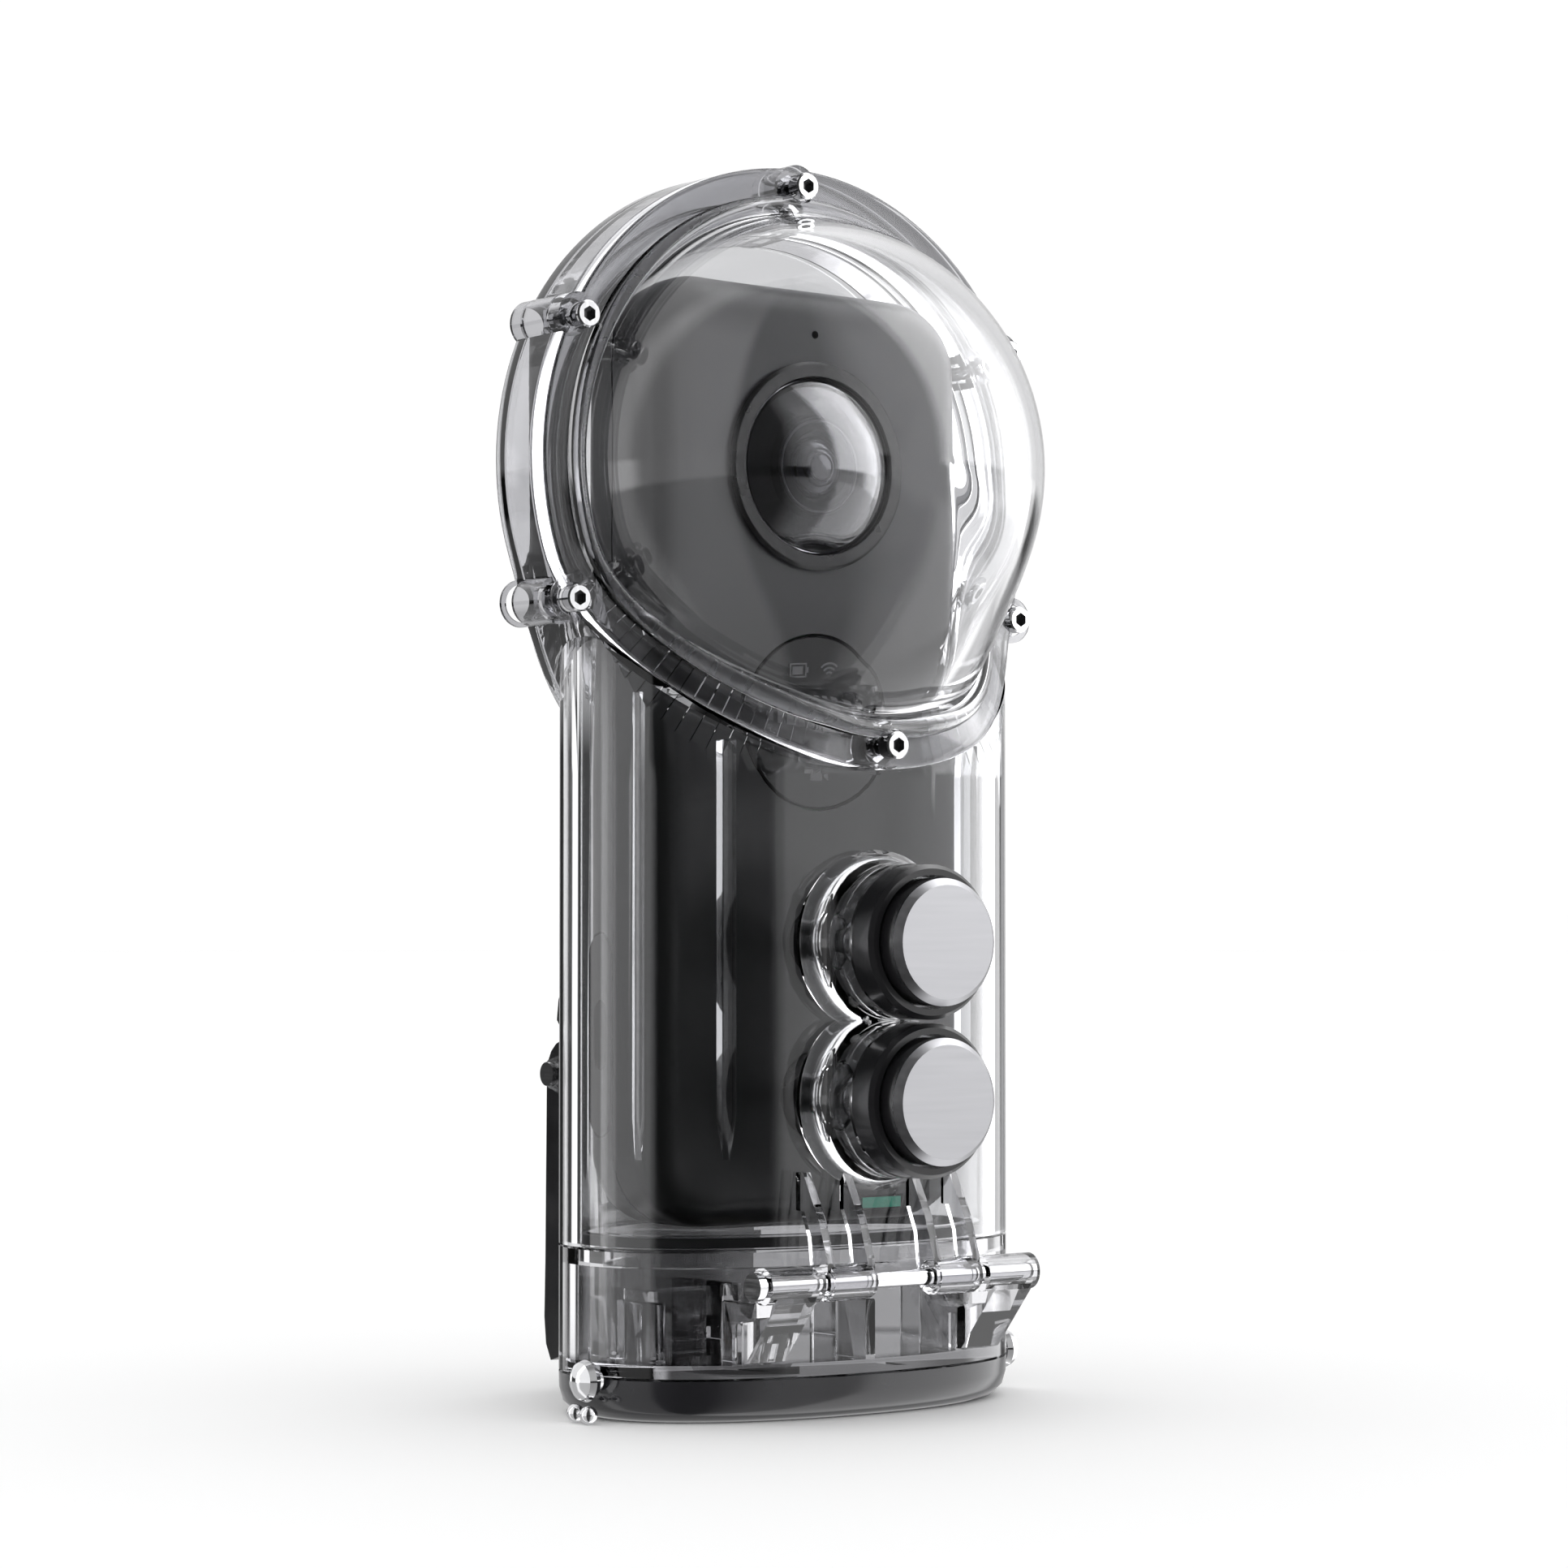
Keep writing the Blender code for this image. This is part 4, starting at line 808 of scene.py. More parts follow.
def lug_outline():
    """Side view (q, z) of a latch lug, round at the pivot."""
    return [(-12.0, LATCH_PIVOT_Z - 6.0), (-12.0, LATCH_PIVOT_Z + 6.0),
            *arc(LATCH_PIVOT_Q, LATCH_PIVOT_Z, LUG_RADIUS, 90, 180, 8)]


FOOT_Q = 14.0
FOOT_PROFILE = [(0.0, 0.0), (11.3, 0.0), (11.3, 4.2), (11.0, 4.6), (10.5, 4.9), (10.0, 5.5), (9.65, 6.4),
                (9.4, 7.6), (9.32, 8.6), (0.0, 8.6)]        # (radius, height above FOOT_Q)


def make_housing():
    body = oval("housing_body", 0.0, SEAM_Z + GAP, 104.0)
    join(body, head_band("head_ring", [0.5, FLANGE_RADIUS], lambda a: rear_contact(a) - 2.0,
                         lambda a: front_contact(a) + 2.0))
    for tag, height in BUTTON_Z.items():
        join(body, rod(f"boss_{tag}", "q", (0, 12, height), (0, BUTTON_BOSS_Q, height),
                       BUTTON_BOSS_RADIUS, sides=32))
        join(body, turned(f"foot_{tag}", FOOT_PROFILE, 0, FOOT_Q, height))
    for number, (low, high) in enumerate(KNUCKLES, start=1):
        join(body, rod(f"eye_{number}", "x", (low + 0.5, HINGE_Q, HINGE_Z), (high - 0.5, HINGE_Q, HINGE_Z),
                       KNUCKLE_RADIUS, sides=24))
        for side, edge in enumerate((low, high), start=1):
            inner = edge + (1.1 if side == 1 else -1.1)
            join(body, flat_outline(f"rib_{number}_{side}", rib_outline(), "x", min(edge, inner),
                                    max(edge, inner)))
    for side in (-1, 1):
        low, high = sorted((side * (LATCH_HALF_WIDTH + 0.4), side * (LATCH_HALF_WIDTH + 0.4 + LUG_THICK)))
        join(body, flat_outline(f"lug_{side}", lug_outline(), "x", low, high))
    join(body, block("lock_rail", (-RAIL_HALF_WIDTH, RAIL_HALF_WIDTH), (-21.4, -17.0), (47.0, 58.0)))

    cut(body, oval("cavity", TUBE_WALL, 0.0, HEAD_Z - FLANGE_RADIUS - 0.6))
    cut(body, upper_cavity())
    cut(body, slab("camera_passage", GAP + 0.1))
    lens = CAMERA_HALF_THICK + LENS_PROUD + GAP
    cut(body, block("lens_passage", (-13.6, 13.6), (CAMERA_Q - lens, CAMERA_Q + lens), (70.0, HEAD_Z)))
    cut(body, rod("head_opening", "q", (0, -50, HEAD_Z), (0, 50, HEAD_Z), DOME_RADIUS - DOME_WALL, sides=48))
    far = 60.0
    radii = [0.5, DOME_RADIUS - DOME_WALL, SEAL_INNER, SEAL_OUTER, FLANGE_RADIUS, FLANGE_RADIUS + 0.35]
    cut(body, head_band("over_front", radii, lambda a: front_contact(a) - GAP, lambda a: far))
    radii = [0.5, DOME_RADIUS - DOME_WALL, FLANGE_RADIUS, FLANGE_RADIUS + 0.35]
    cut(body, head_band("over_rear", radii, lambda a: -far, lambda a: rear_contact(a) + GAP))
    join(body, *bosses("ring_boss",
                       lambda p: 13.2 if is_lowest(p) else span_of(rear_contact, p)[1] + GAP + STEP,
                       lambda p: span_of(front_contact, p)[0] - GAP - STEP))
    cut(body, head_band("seal_groove", [SEAL_INNER - GAP, SEAL_OUTER + GAP],
                        lambda a: front_contact(a) - SEAL_DEPTH - GAP, lambda a: far))
    cut(body, *screw_holes("ring_hole", 1.15))
    cut(body, *nut_pockets("ring_pocket"))
    for tag, height in BUTTON_Z.items():
        cut(body, rod(f"bore_{tag}", "q", (0, BUTTON_FLOOR_Q, height), (0, 40, height),
                      BUTTON_BORE_RADIUS, sides=32))
        join(body, rod(f"guide_{tag}", "q", (0, BUTTON_FLOOR_Q - 1, height), (0, 22.6, height), 3.0))
        cut(body, rod(f"stem_hole_{tag}", "q", (0, 5, height), (0, 40, height), STEM_RADIUS + GAP))
    cut(body, rod("hinge_bore", "x", (-20, HINGE_Q, HINGE_Z), (20, HINGE_Q, HINGE_Z), PIN_HOLE_RADIUS,
                  sides=16))
    reach = LATCH_HALF_WIDTH + 5.0
    cut(body, rod("latch_bore", "x", (-reach, LATCH_PIVOT_Q, LATCH_PIVOT_Z),
                  (reach, LATCH_PIVOT_Q, LATCH_PIVOT_Z), LATCH_PIN_RADIUS + GAP, sides=16))
    finished(body, HOUSING_CLEAR)


# ---------------------------------------------------------------- bottom lid
LID_WALL = 2.4
LID_FLOOR_TOP = 6.8
RIB_EDGE = 0.3
SPIGOT_TOP = 22.0
SPIGOT_CLEARANCE = 1.0
RIB_COUNT = 10
INSERT_RADIUS = 5.0
INSERT_BORE = 3.2
CATCH_Q = -24.6                # back of the ledge that the latch's foot stands behind
CATCH_Z = (9.2, 12.6)
HOOK_HALF_WIDTH = 9.0
LID_EYE_END = 20.0


def arm_outline():
    """Side view (q, z) of one lid arm, from the lid's front wall to the hinge's eye."""
    return [(14.0, 6.6), (18.0, 7.4), (24.4, 14.8), *arc(HINGE_Q, HINGE_Z, EYE_CORE, -30, 200, 8),
            (19.2, 12.8), (14.0, 11.4)]


def make_lid():
    lid = oval("bottom_lid", 0.0, BASE_TOP_Z + GAP, SEAM_Z)
    spigot_inset = TUBE_WALL + SPIGOT_CLEARANCE
    join(lid, oval("spigot", spigot_inset, SEAM_Z - 1.0, SPIGOT_TOP))
    cut(lid, oval("lid_hollow", spigot_inset + 1.5, 12.0, SPIGOT_TOP + 1.0))
    cut(lid, oval("lid_hollow_low", LID_WALL, LID_FLOOR_TOP, SEAM_Z - 2.0))
    for i in range(RIB_COUNT):
        angle = 2.0 * math.pi * (i + 0.5) / RIB_COUNT
        x, q = 25.0 * math.cos(angle), 13.6 * math.sin(angle)
        rib = block(f"lid_rib_{i}", (x - 0.7, x + 0.7), (q - 3.4, q + 3.4), (LID_FLOOR_TOP - 0.5, 14.0))
        round_edges(rib, RIB_EDGE)
        join(lid, rib)
    for number, side in enumerate((-1, 1), start=1):
        low, high = sorted((side * 12.3, side * LID_EYE_END))
        join(lid, rod(f"lid_eye_{number}", "x", (low, HINGE_Q, HINGE_Z), (high, HINGE_Q, HINGE_Z),
                      KNUCKLE_RADIUS, sides=24))
        join(lid, flat_outline(f"lid_arm_{number}", arm_outline(), "x", low + 1.0, high - 1.0))
    join(lid, block("catch_ledge", (-HOOK_HALF_WIDTH, HOOK_HALF_WIDTH), (CATCH_Q, -17.0), CATCH_Z))
    cut(lid, rod("lid_hinge_bore", "x", (-30, HINGE_Q, HINGE_Z), (30, HINGE_Q, HINGE_Z),
                 PIN_HOLE_RADIUS, sides=16))
    finished(lid, LID_CLEAR)


def make_base():
    """The dark plate under the lid, with a rounded foot."""
    levels = [(0.0, 3.2), (0.5, 1.6), (1.6, 0.5), (3.2, 0.05), (BASE_TOP_Z, 0.0)]     # (height, inset)
    base = loft("base_plate", [[(x, q, height) for x, q in superellipse(inset)] for height, inset in levels])
    cut(base, rod("insert_seat", "z", (0, 0, -1), (0, 0, BASE_TOP_Z + 1), INSERT_RADIUS + GAP, sides=32))
    finished(base, SMOKE)

    insert = turned("tripod_insert", [(INSERT_BORE, BASE_TOP_Z - 0.1), (INSERT_RADIUS, BASE_TOP_Z - 0.1),
                                      (INSERT_RADIUS, 0.2), (INSERT_BORE + 0.4, 0.2), (INSERT_BORE, 0.6)],
                    0, 0, 0, steps=24, facing="up")
    finished(insert, BRASS)


def make_lid_seal():
    """An oval gasket round the lid's spigot, on the lid's rim."""
    low, high = SEAM_Z + GAP + 0.1, SPIGOT_TOP - 0.2
    seal = oval("lid_seal", TUBE_WALL + GAP, low, high)
    inner = oval("lid_seal_inner", TUBE_WALL + SPIGOT_CLEARANCE - 0.15, low - 1.0, high + 1.0)
    cut(seal, inner)
    finished(seal, BLACK_RUBBER)


LUG_X = 30.4
LUG_Z = 5.0


def make_lanyard_posts():
    """Polished mushroom posts for the strap, one on each end of the lid."""
    profile = [(0.0, 3.4), (1.3, 3.2), (2.2, 2.5), (2.5, 1.7), (2.2, 1.0), (1.3, 0.5), (1.3, 0.0), (0.0, 0.0)]
    for facing, x, q in (("left", -LUG_X, 3.8), ("right", LUG_X, 2.4)):
        post = turned(f"lanyard_post_{facing}", profile, x, q, LUG_Z, steps=16, facing=facing)
        finished(post, CHROME)
    toggle = rod("lanyard_toggle", "q", (-32.6, 2.4, 1.15), (-32.6, 5.2, 1.15), 0.45, sides=12)
    for number, q in enumerate((2.4, 5.2), start=1):
        bm = bmesh.new()
        bmesh.ops.create_uvsphere(bm, u_segments=12, v_segments=8, radius=1.1 * MM,
                                  matrix=Matrix.Translation(point(-32.6, q, 1.15)))
        join(toggle, object_from(f"toggle_ball_{number}", bm))
    finished(toggle, CHROME)


# ---------------------------------------------------------------- hinge pin and latch
def pin(name, start, end, radius, head_radius, head_thick):
    """A plain pin along X with a round head at its left end."""
    bm = bmesh.new()
    add_rod(bm, "x", start, end, radius, sides=20)
    obj = object_from(name, bm)
    head_start = (start[0] - head_thick + 0.2, start[1], start[2])
    head = rod(f"{name}_head", "x", head_start, (start[0] + 0.2, start[1], start[2]), head_radius, sides=20)
    join(obj, head)
    finished(obj, CHROME)


def lever_outline():
    """Side view (q, z) of the latch lever: round at the pivot, flat plate, thicker at its foot."""
    inner = LATCH_PIVOT_Q - 1.3
    return [*arc(LATCH_PIVOT_Q, LATCH_PIVOT_Z, LATCH_HUB_RADIUS, 180, -240, 12),
            (inner, 34.6), (inner, 9.0), (inner + 0.8, 6.0), (inner + 0.8, 4.4), (-30.2, 3.6),
            (-31.3, 5.6), (-31.7, 9.0), (-31.5, 16.0)]


def make_latch():
    lever = flat_outline("latch_lever", lever_outline(), "x", -LATCH_HALF_WIDTH, LATCH_HALF_WIDTH)
    join(lever, block("hook", (-HOOK_HALF_WIDTH, HOOK_HALF_WIDTH), (-29.0, CATCH_Q - 0.5), (6.4, 10.6)))
    reach = LATCH_HALF_WIDTH + 1.0
    cut(lever, rod("lever_bore", "x", (-reach, LATCH_PIVOT_Q, LATCH_PIVOT_Z),
                   (reach, LATCH_PIVOT_Q, LATCH_PIVOT_Z), LATCH_PIN_RADIUS + GAP, sides=20))
    round_edges(lever, 0.5, segments=1, angle=50)
    finished(lever, BLACK)

    span = LATCH_HALF_WIDTH + 0.4 + LUG_THICK + 0.35
    pin("latch_pin", (-span, LATCH_PIVOT_Q, LATCH_PIVOT_Z), (span, LATCH_PIVOT_Q, LATCH_PIVOT_Z),
        LATCH_PIN_RADIUS, 1.5, 0.6)

    outline = [(-21.0, 45.9), (-30.2, 45.9), (-30.8, 46.6), (-30.4, 49.4), (-28.2, 53.0), (-21.0, 54.6)]
    lock = flat_outline("latch_lock", outline, "x", -LATCH_HALF_WIDTH + 1.0, LATCH_HALF_WIDTH - 1.0)
    clearance = RAIL_HALF_WIDTH + GAP
    cut(lock, block("lock_slot", (-clearance, clearance), (-21.4 - GAP, -10.0), (40.0, 60.0)))
    round_edges(lock, 0.4, segments=1, angle=50)
    finished(lock, BLACK)


# ---------------------------------------------------------------- push buttons
COLLAR_RADIUS = 9.2
COLLAR_FRONT_Q = 29.4
CAP_RADIUS = 7.55
CAP_FACE_RADIUS = 6.75
STEM_INNER_Q = 7.4             # just off the camera's button
RETAINER_Q = 14.3
SPRING_RADIUS = 4.6
CAP_BEVEL = 0.9
SPRING_WIRE = 0.4
SPRING_TURNS = 4
SPRING_SPAN = (BUTTON_FLOOR_Q + 0.9, 29.4)


def make_spring(name, height):
    """A coil between the boss's floor and the cap."""
    curve = bpy.data.curves.new(name, "CURVE")
    curve.dimensions = "3D"
    curve.bevel_depth = SPRING_WIRE * MM
    curve.bevel_resolution = 1
    curve.use_fill_caps = True
    per_turn = 8
    count = SPRING_TURNS * per_turn + 1
    spline = curve.splines.new("POLY")
    spline.points.add(count - 1)
    for i, item in enumerate(spline.points):
        share = i / (count - 1)
        angle = 2.0 * math.pi * SPRING_TURNS * share
        q = SPRING_SPAN[0] + share * (SPRING_SPAN[1] - SPRING_SPAN[0])
        place = point(SPRING_RADIUS * math.cos(angle), q, height + SPRING_RADIUS * math.sin(angle))
        item.co = (*place, 1.0)
    finished(bpy.data.objects.new(name, curve), CHROME)


def blacken_side(cap):
    """Only the cap's face and its bevel are bare metal."""
    cap.data.materials.append(BLACK)
    for face in cap.data.polygons:
        if face.center.z < (BUTTON_FACE_Q - CAP_BEVEL) * MM:
            face.material_index = 1


def make_button(tag, height):
    collar = turned(f"button_collar_{tag}",
                    [(CAP_RADIUS + 0.4, COLLAR_FRONT_Q), (COLLAR_RADIUS - 0.5, COLLAR_FRONT_Q),
                     (COLLAR_RADIUS, COLLAR_FRONT_Q - 0.5), (COLLAR_RADIUS, BUTTON_BOSS_Q + GAP),
                     (CAP_RADIUS + 0.4, BUTTON_BOSS_Q + GAP)], 0, 0, height, steps=32)
    notch = block(f"notch_{tag}", (7.0, 12.0), (27.4, 30.0), (height - 2.2, height + 2.2))
    cut(collar, notch)
    finished(collar, BLACK)

    inside = CAP_RADIUS - 1.2
    cap = turned(f"button_cap_{tag}",
                 [(0.0, BUTTON_FACE_Q), (CAP_FACE_RADIUS, BUTTON_FACE_Q), (CAP_RADIUS, BUTTON_FACE_Q - 0.8),
                  (CAP_RADIUS, 25.6), (inside, 25.6), (inside, 30.4), (STEM_RADIUS + 0.2, 30.4),
                  (STEM_RADIUS + 0.2, 31.2), (0.0, 31.2)], 0, 0, height, steps=28)
    blacken_side(finished(cap, CAP_METAL))

    radius = STEM_RADIUS
    stem = turned(f"button_stem_{tag}",
                  [(0.0, 31.0), (radius - 0.1, 31.0), (radius - 0.1, 28.2), (2.4, 28.2), (2.4, 27.4),
                   (radius, 27.4), (radius, RETAINER_Q + 0.45), (radius - 0.5, RETAINER_Q + 0.45),
                   (radius - 0.5, RETAINER_Q - 0.45), (radius, RETAINER_Q - 0.45),
                   (radius, STEM_INNER_Q + 0.4), (radius - 0.4, STEM_INNER_Q), (0.0, STEM_INNER_Q)],
                  0, 0, height, steps=16)
    finished(stem, CHROME)

    clip = turned(f"button_clip_{tag}",
                  [(radius - 0.3, RETAINER_Q + 0.25), (2.9, RETAINER_Q + 0.25), (2.9, RETAINER_Q - 0.25),
                   (radius - 0.3, RETAINER_Q - 0.25)], 0, 0, height, steps=20)
    finished(clip, CHROME)

    make_spring(f"button_spring_{tag}", height)

    ring = turned(f"button_seal_{tag}", [(radius + 0.15, 23.7), (2.7, 23.7), (2.9, 23.4), (2.7, 22.9),
                                         (radius + 0.15, 22.9)], 0, 0, height, steps=24)
    finished(ring, RUBBER)


# ---------------------------------------------------------------- the camera
SHELL_WALL = 1.6
CORNER_RADIUS = 9.0
CORNER_STEPS = 14
EDGE_STEPS = 9
EDGE_ROUND = 4.0
LENS_HOLE_RADIUS = 11.1
LENS_RING_INNER = 11.15
LENS_RING_RADIUS = 13.0
DISPLAY_Z = 83.5
DISPLAY_RADIUS = 10.4
CAMERA_BUTTONS = {"upper": 4.0, "lower": 5.2}
PORT_Q = -5.6
PORT_HALF = 2.75               # half the port panel's width
PORT_Z = (33.3, 57.8)
LIGHT_X = (6.8, 12.6)
LIGHT_Z = (24.0, 25.3)


def slab_outline(inset):
    """Front view (x, z) of the camera: a rectangle with round corners, moved in by 'inset'."""
    radius = CORNER_RADIUS - inset
    half_width = CAMERA_HALF_WIDTH - CORNER_RADIUS
    low, high = CAMERA_BOTTOM + CORNER_RADIUS, CAMERA_TOP - CORNER_RADIUS
    outline = []
    for x, z, first in ((half_width, high, 0), (-half_width, high, 90), (-half_width, low, 180),
                        (half_width, low, 270)):
        outline += arc(x, z, radius, first, 90, CORNER_STEPS)
    return outline


def slab_levels(half):
    """(depth from the middle plane, inset) pairs that round the camera's outer edge."""
    levels = []
    for i in range(EDGE_STEPS + 1):
        turn = math.pi / 2 * i / EDGE_STEPS
        levels.append((half - EDGE_ROUND * (1.0 - math.sin(turn)), EDGE_ROUND * (1.0 - math.cos(turn))))
    return levels


def slab(name, grow):
    """The camera's outer form, larger by 'grow', as a cutter for the space it slides into."""
    levels = slab_levels(CAMERA_HALF_THICK + grow)
    levels = [(-depth, inset) for depth, inset in levels[::-1]] + levels
    sections = [[(x, CAMERA_Q + depth, z) for x, z in slab_outline(inset - grow)]
                for depth, inset in levels]
    return loft(name, sections)


def camera_shell(name, side):
    """Half of the camera's case, with a rounded outer edge and open at the middle plane."""
    half = CAMERA_HALF_THICK
    levels = [(0.15, 0.0)] + slab_levels(half)
    sections = [[(x, CAMERA_Q + side * depth, z) for x, z in slab_outline(inset)]
                for depth, inset in levels]
    shell = loft(name, sections)
    hollow_levels = [(-1.0, SHELL_WALL), (half - 4.0, SHELL_WALL), (half - SHELL_WALL, 4.6)]
    hollow = [[(x, CAMERA_Q + side * depth, z) for x, z in slab_outline(inset)]
              for depth, inset in hollow_levels]
    cut(shell, loft(f"{name}_hollow", hollow))
    face = CAMERA_Q + side * half
    low, high = sorted((face - side * 4.0, face + side * 4.0))
    cut(shell, rod(f"{name}_lens_hole", "q", (0, low, HEAD_Z), (0, high, HEAD_Z), LENS_HOLE_RADIUS,
                   sides=40))
    door_cut = block(f"{name}_door_cut", (22.7, 30.0), (-6.3, 1.7), (31.5, 72.5))
    cut(shell, door_cut)
    return shell


def pill_outline(half_width, low, high):
    """A slot outline (q, z) with round ends, about the port's middle."""
    return [*arc(PORT_Q, high - half_width, half_width, 0, 180, 8),
            *arc(PORT_Q, low + half_width, half_width, 180, 180, 8)]


def make_camera_shells():
    front = camera_shell("camera_front_shell", 1)
    face = CAMERA_Q + CAMERA_HALF_THICK
    cut(front, rod("display_hole", "q", (0, face - 4, DISPLAY_Z), (0, face + 4, DISPLAY_Z),
                   DISPLAY_RADIUS + GAP, sides=40))
    for tag, radius in CAMERA_BUTTONS.items():
        height = BUTTON_Z[tag]
        cut(front, rod(f"camera_button_hole_{tag}", "q", (0, face - 4, height), (0, face + 4, height),
                       radius + GAP, sides=32))
    cut(front, rod("microphone_hole", "q", (0, face - 4, 131.4), (0, face + 4, 131.4), 0.5, sides=10))
    cut(front, block("light_slot", (LIGHT_X[0] - GAP, LIGHT_X[1] + GAP), (face - 1.6, face + 3),
                     (LIGHT_Z[0] - GAP, LIGHT_Z[1] + GAP)))
    finished(front, BODY)

    rear = camera_shell("camera_rear_shell", -1)
    slot = pill_outline(PORT_HALF + GAP, PORT_Z[0] - GAP, PORT_Z[1] + GAP)
    cut(rear, flat_outline("port_slot", slot, "x", -30.0, -20.0))
    finished(rear, BODY)


def make_lens(tag, side):
    facing = "front" if side > 0 else "back"
    face = CAMERA_Q + side * CAMERA_HALF_THICK
    ring = turned(f"lens_ring_{tag}",
                  [(LENS_RING_INNER, 1.0), (LENS_RING_RADIUS - 0.4, 1.0), (LENS_RING_RADIUS, 0.6),
                   (LENS_RING_RADIUS, GAP), (LENS_RING_INNER, GAP)],
                  0, face, HEAD_Z, steps=28, facing=facing)
    finished(ring, TRIM)

    radius, rise, thick, skirt = 10.8, LENS_PROUD, 1.2, 0.6
    curve = (radius ** 2 + (rise - skirt) ** 2) / (2 * (rise - skirt))
    outer, inner = [], []
    for i in range(5):
        angle = math.asin(radius / curve) * i / 4
        outer.append((curve * math.sin(angle), curve * math.cos(angle) - curve + rise))
        inner.append(((curve - thick) * math.sin(angle), (curve - thick) * math.cos(angle) - curve + rise))
    outer.append((radius, inner[-1][1]))
    dome = turned(f"lens_dome_{tag}", outer + inner[::-1], 0, face, HEAD_Z, steps=24, facing=facing)
    finished(dome, GLASS)

    barrel = turned(f"lens_barrel_{tag}",
                    [(3.9, -0.4), (4.3, 0.5), (6.0, 0.5), (6.4, -0.6), (9.2, -1.5), (10.4, -1.5),
                     (10.4, -6.0), (3.9, -6.0)], 0, face, HEAD_Z, steps=24, facing=facing)
    finished(barrel, MATTE)

    element = turned(f"lens_element_{tag}", [(0.0, 1.2), (1.5, 1.0), (2.8, 0.5), (3.6, -0.4), (3.6, -2.2),
                                             (0.0, -2.2)], 0, face, HEAD_Z, steps=20, facing=facing)
    finished(element, COATED)


def make_camera_details():
    face = CAMERA_Q + CAMERA_HALF_THICK
    window = turned("display_window", [(0.0, 0.0), (DISPLAY_RADIUS - 0.2, 0.0), (DISPLAY_RADIUS, -0.2),
                                       (DISPLAY_RADIUS, -1.1), (0.0, -1.1)], 0, face, DISPLAY_Z, steps=40)
    finished(window, DISPLAY)
    for tag, radius in CAMERA_BUTTONS.items():
        profile = [(0.0, 0.2), (radius - 0.5, 0.2), (radius, -0.2), (radius, -1.4), (0.0, -1.4)]
        key = turned(f"camera_button_{tag}", profile, 0, face, BUTTON_Z[tag], steps=32)
        finished(key, TRIM)
    light = block("status_light", LIGHT_X, (face - 1.3, face - 0.25), LIGHT_Z)
    finished(light, GREEN)

    panel = flat_outline("usb_panel", pill_outline(PORT_HALF, *PORT_Z), "x",
                         -CAMERA_HALF_WIDTH, -CAMERA_HALF_WIDTH + 1.4)
    cut(panel, flat_outline("usb_mouth", pill_outline(1.6, 41.3, 49.8), "x", -30.0, -20.0))
    finished(panel, BODY)
    door = block("battery_door", (23.0, 23.95), (-6.0, 1.4), (31.8, 72.2))
    round_edges(door, 0.3, segments=1)
    finished(door, BODY)
    cell = block("camera_battery", (-12.0, 20.0), (-8.4, -0.2), (28.0, 72.0))
    round_edges(cell, 1.5)
    finished(cell, CELL)
    board = block("camera_mainboard", (-20.0, 20.0), (1.4, 2.6), (28.0, 100.0))
    finished(board, BOARD)


# ---------------------------------------------------------------- details the solids leave out
FACE_Q = CAMERA_Q + CAMERA_HALF_THICK
INK_PROUD = (0.01, 0.04)       # back and front of a mark, above the display


def ink(name, outlines):
    """Flat marks printed on the display: each outline is a list of (x, z) from its middle."""
    bm = bmesh.new()
    for outline in outlines:
        add_skin(bm, [[bm.verts.new(point(x, FACE_Q + proud, DISPLAY_Z + z)) for x, z in outline]
                      for proud in INK_PROUD])
    finished(object_from(name, bm), INK, node="display_window")


def bar(x, z, half_width, half_height):
    return [(x - half_width, z - half_height), (x + half_width, z - half_height),
            (x + half_width, z + half_height), (x - half_width, z + half_height)]


def arc_band(x, z, inner, outer):
    """A quarter ring about (x, z), lying above it."""
    return arc(x, z, outer, 45, 90, 10) + arc(x, z, inner, 45, 90, 10)[::-1]


def make_display_marks():
    """A battery, a signal fan, a row of level bars and a camera sign."""
    frame_marks = [bar(-2.4, 6.9, 1.2, 0.10), bar(-2.4, 5.3, 1.2, 0.10), bar(-3.6, 6.1, 0.1, 0.9),
                   bar(-1.2, 6.1, 0.1, 0.9), bar(-2.5, 6.1, 0.8, 0.5), bar(-0.95, 6.1, 0.12, 0.35)]
    ink("mark_battery", frame_marks)
    ink("mark_signal", [arc_band(2.5, 5.0, r, r + 0.25) for r in (0.5, 1.1, 1.7)])
    ink("mark_levels", [bar(-6.0 + 1.5 * i, 0.0, 0.45, 0.5 + 0.12 * i) for i in range(9)])
    ink("mark_camera", [bar(-0.3, -6.3, 0.9, 0.7),
                        [(0.8, -6.5), (1.5, -7.0), (1.5, -5.6), (0.8, -6.1)]])


RAILS = [(-25.5, 0.35), (-17.5, 0.9), (17.5, 0.9), (25.5, 0.35)]   # (x, half width)
RAIL_LOW = 31.0
RAIL_POINT = 5.0
RAIL_DEPTH = 1.4


def make_guide_rails():
    """Slim rails inside the tube that steady the camera; their lower ends are pointed."""
    for number, (x, half) in enumerate(RAILS, start=1):
        wall_q = inner_wall(abs(x) + half) - 0.1
        high = HEAD_Z - math.sqrt(FLANGE_RADIUS ** 2 - x * x) - 1.0
        outline = [(x - half, RAIL_LOW + RAIL_POINT), (x, RAIL_LOW), (x + half, RAIL_LOW + RAIL_POINT),
                   (x + half, high), (x - half, high)]
        rail = flat_outline(f"guide_rail_{number}", outline, "q", wall_q - RAIL_DEPTH, wall_q)
        finished(rail, CLEAR, node="housing_body")


def inner_wall(x):
    """q of the tube's inner face at x."""
    share = abs(x) / (TUBE_HALF_WIDTH - TUBE_WALL)
    return (TUBE_HALF_DEPTH - TUBE_WALL) * (1.0 - share ** TUBE_POWER) ** (1.0 / TUBE_POWER)


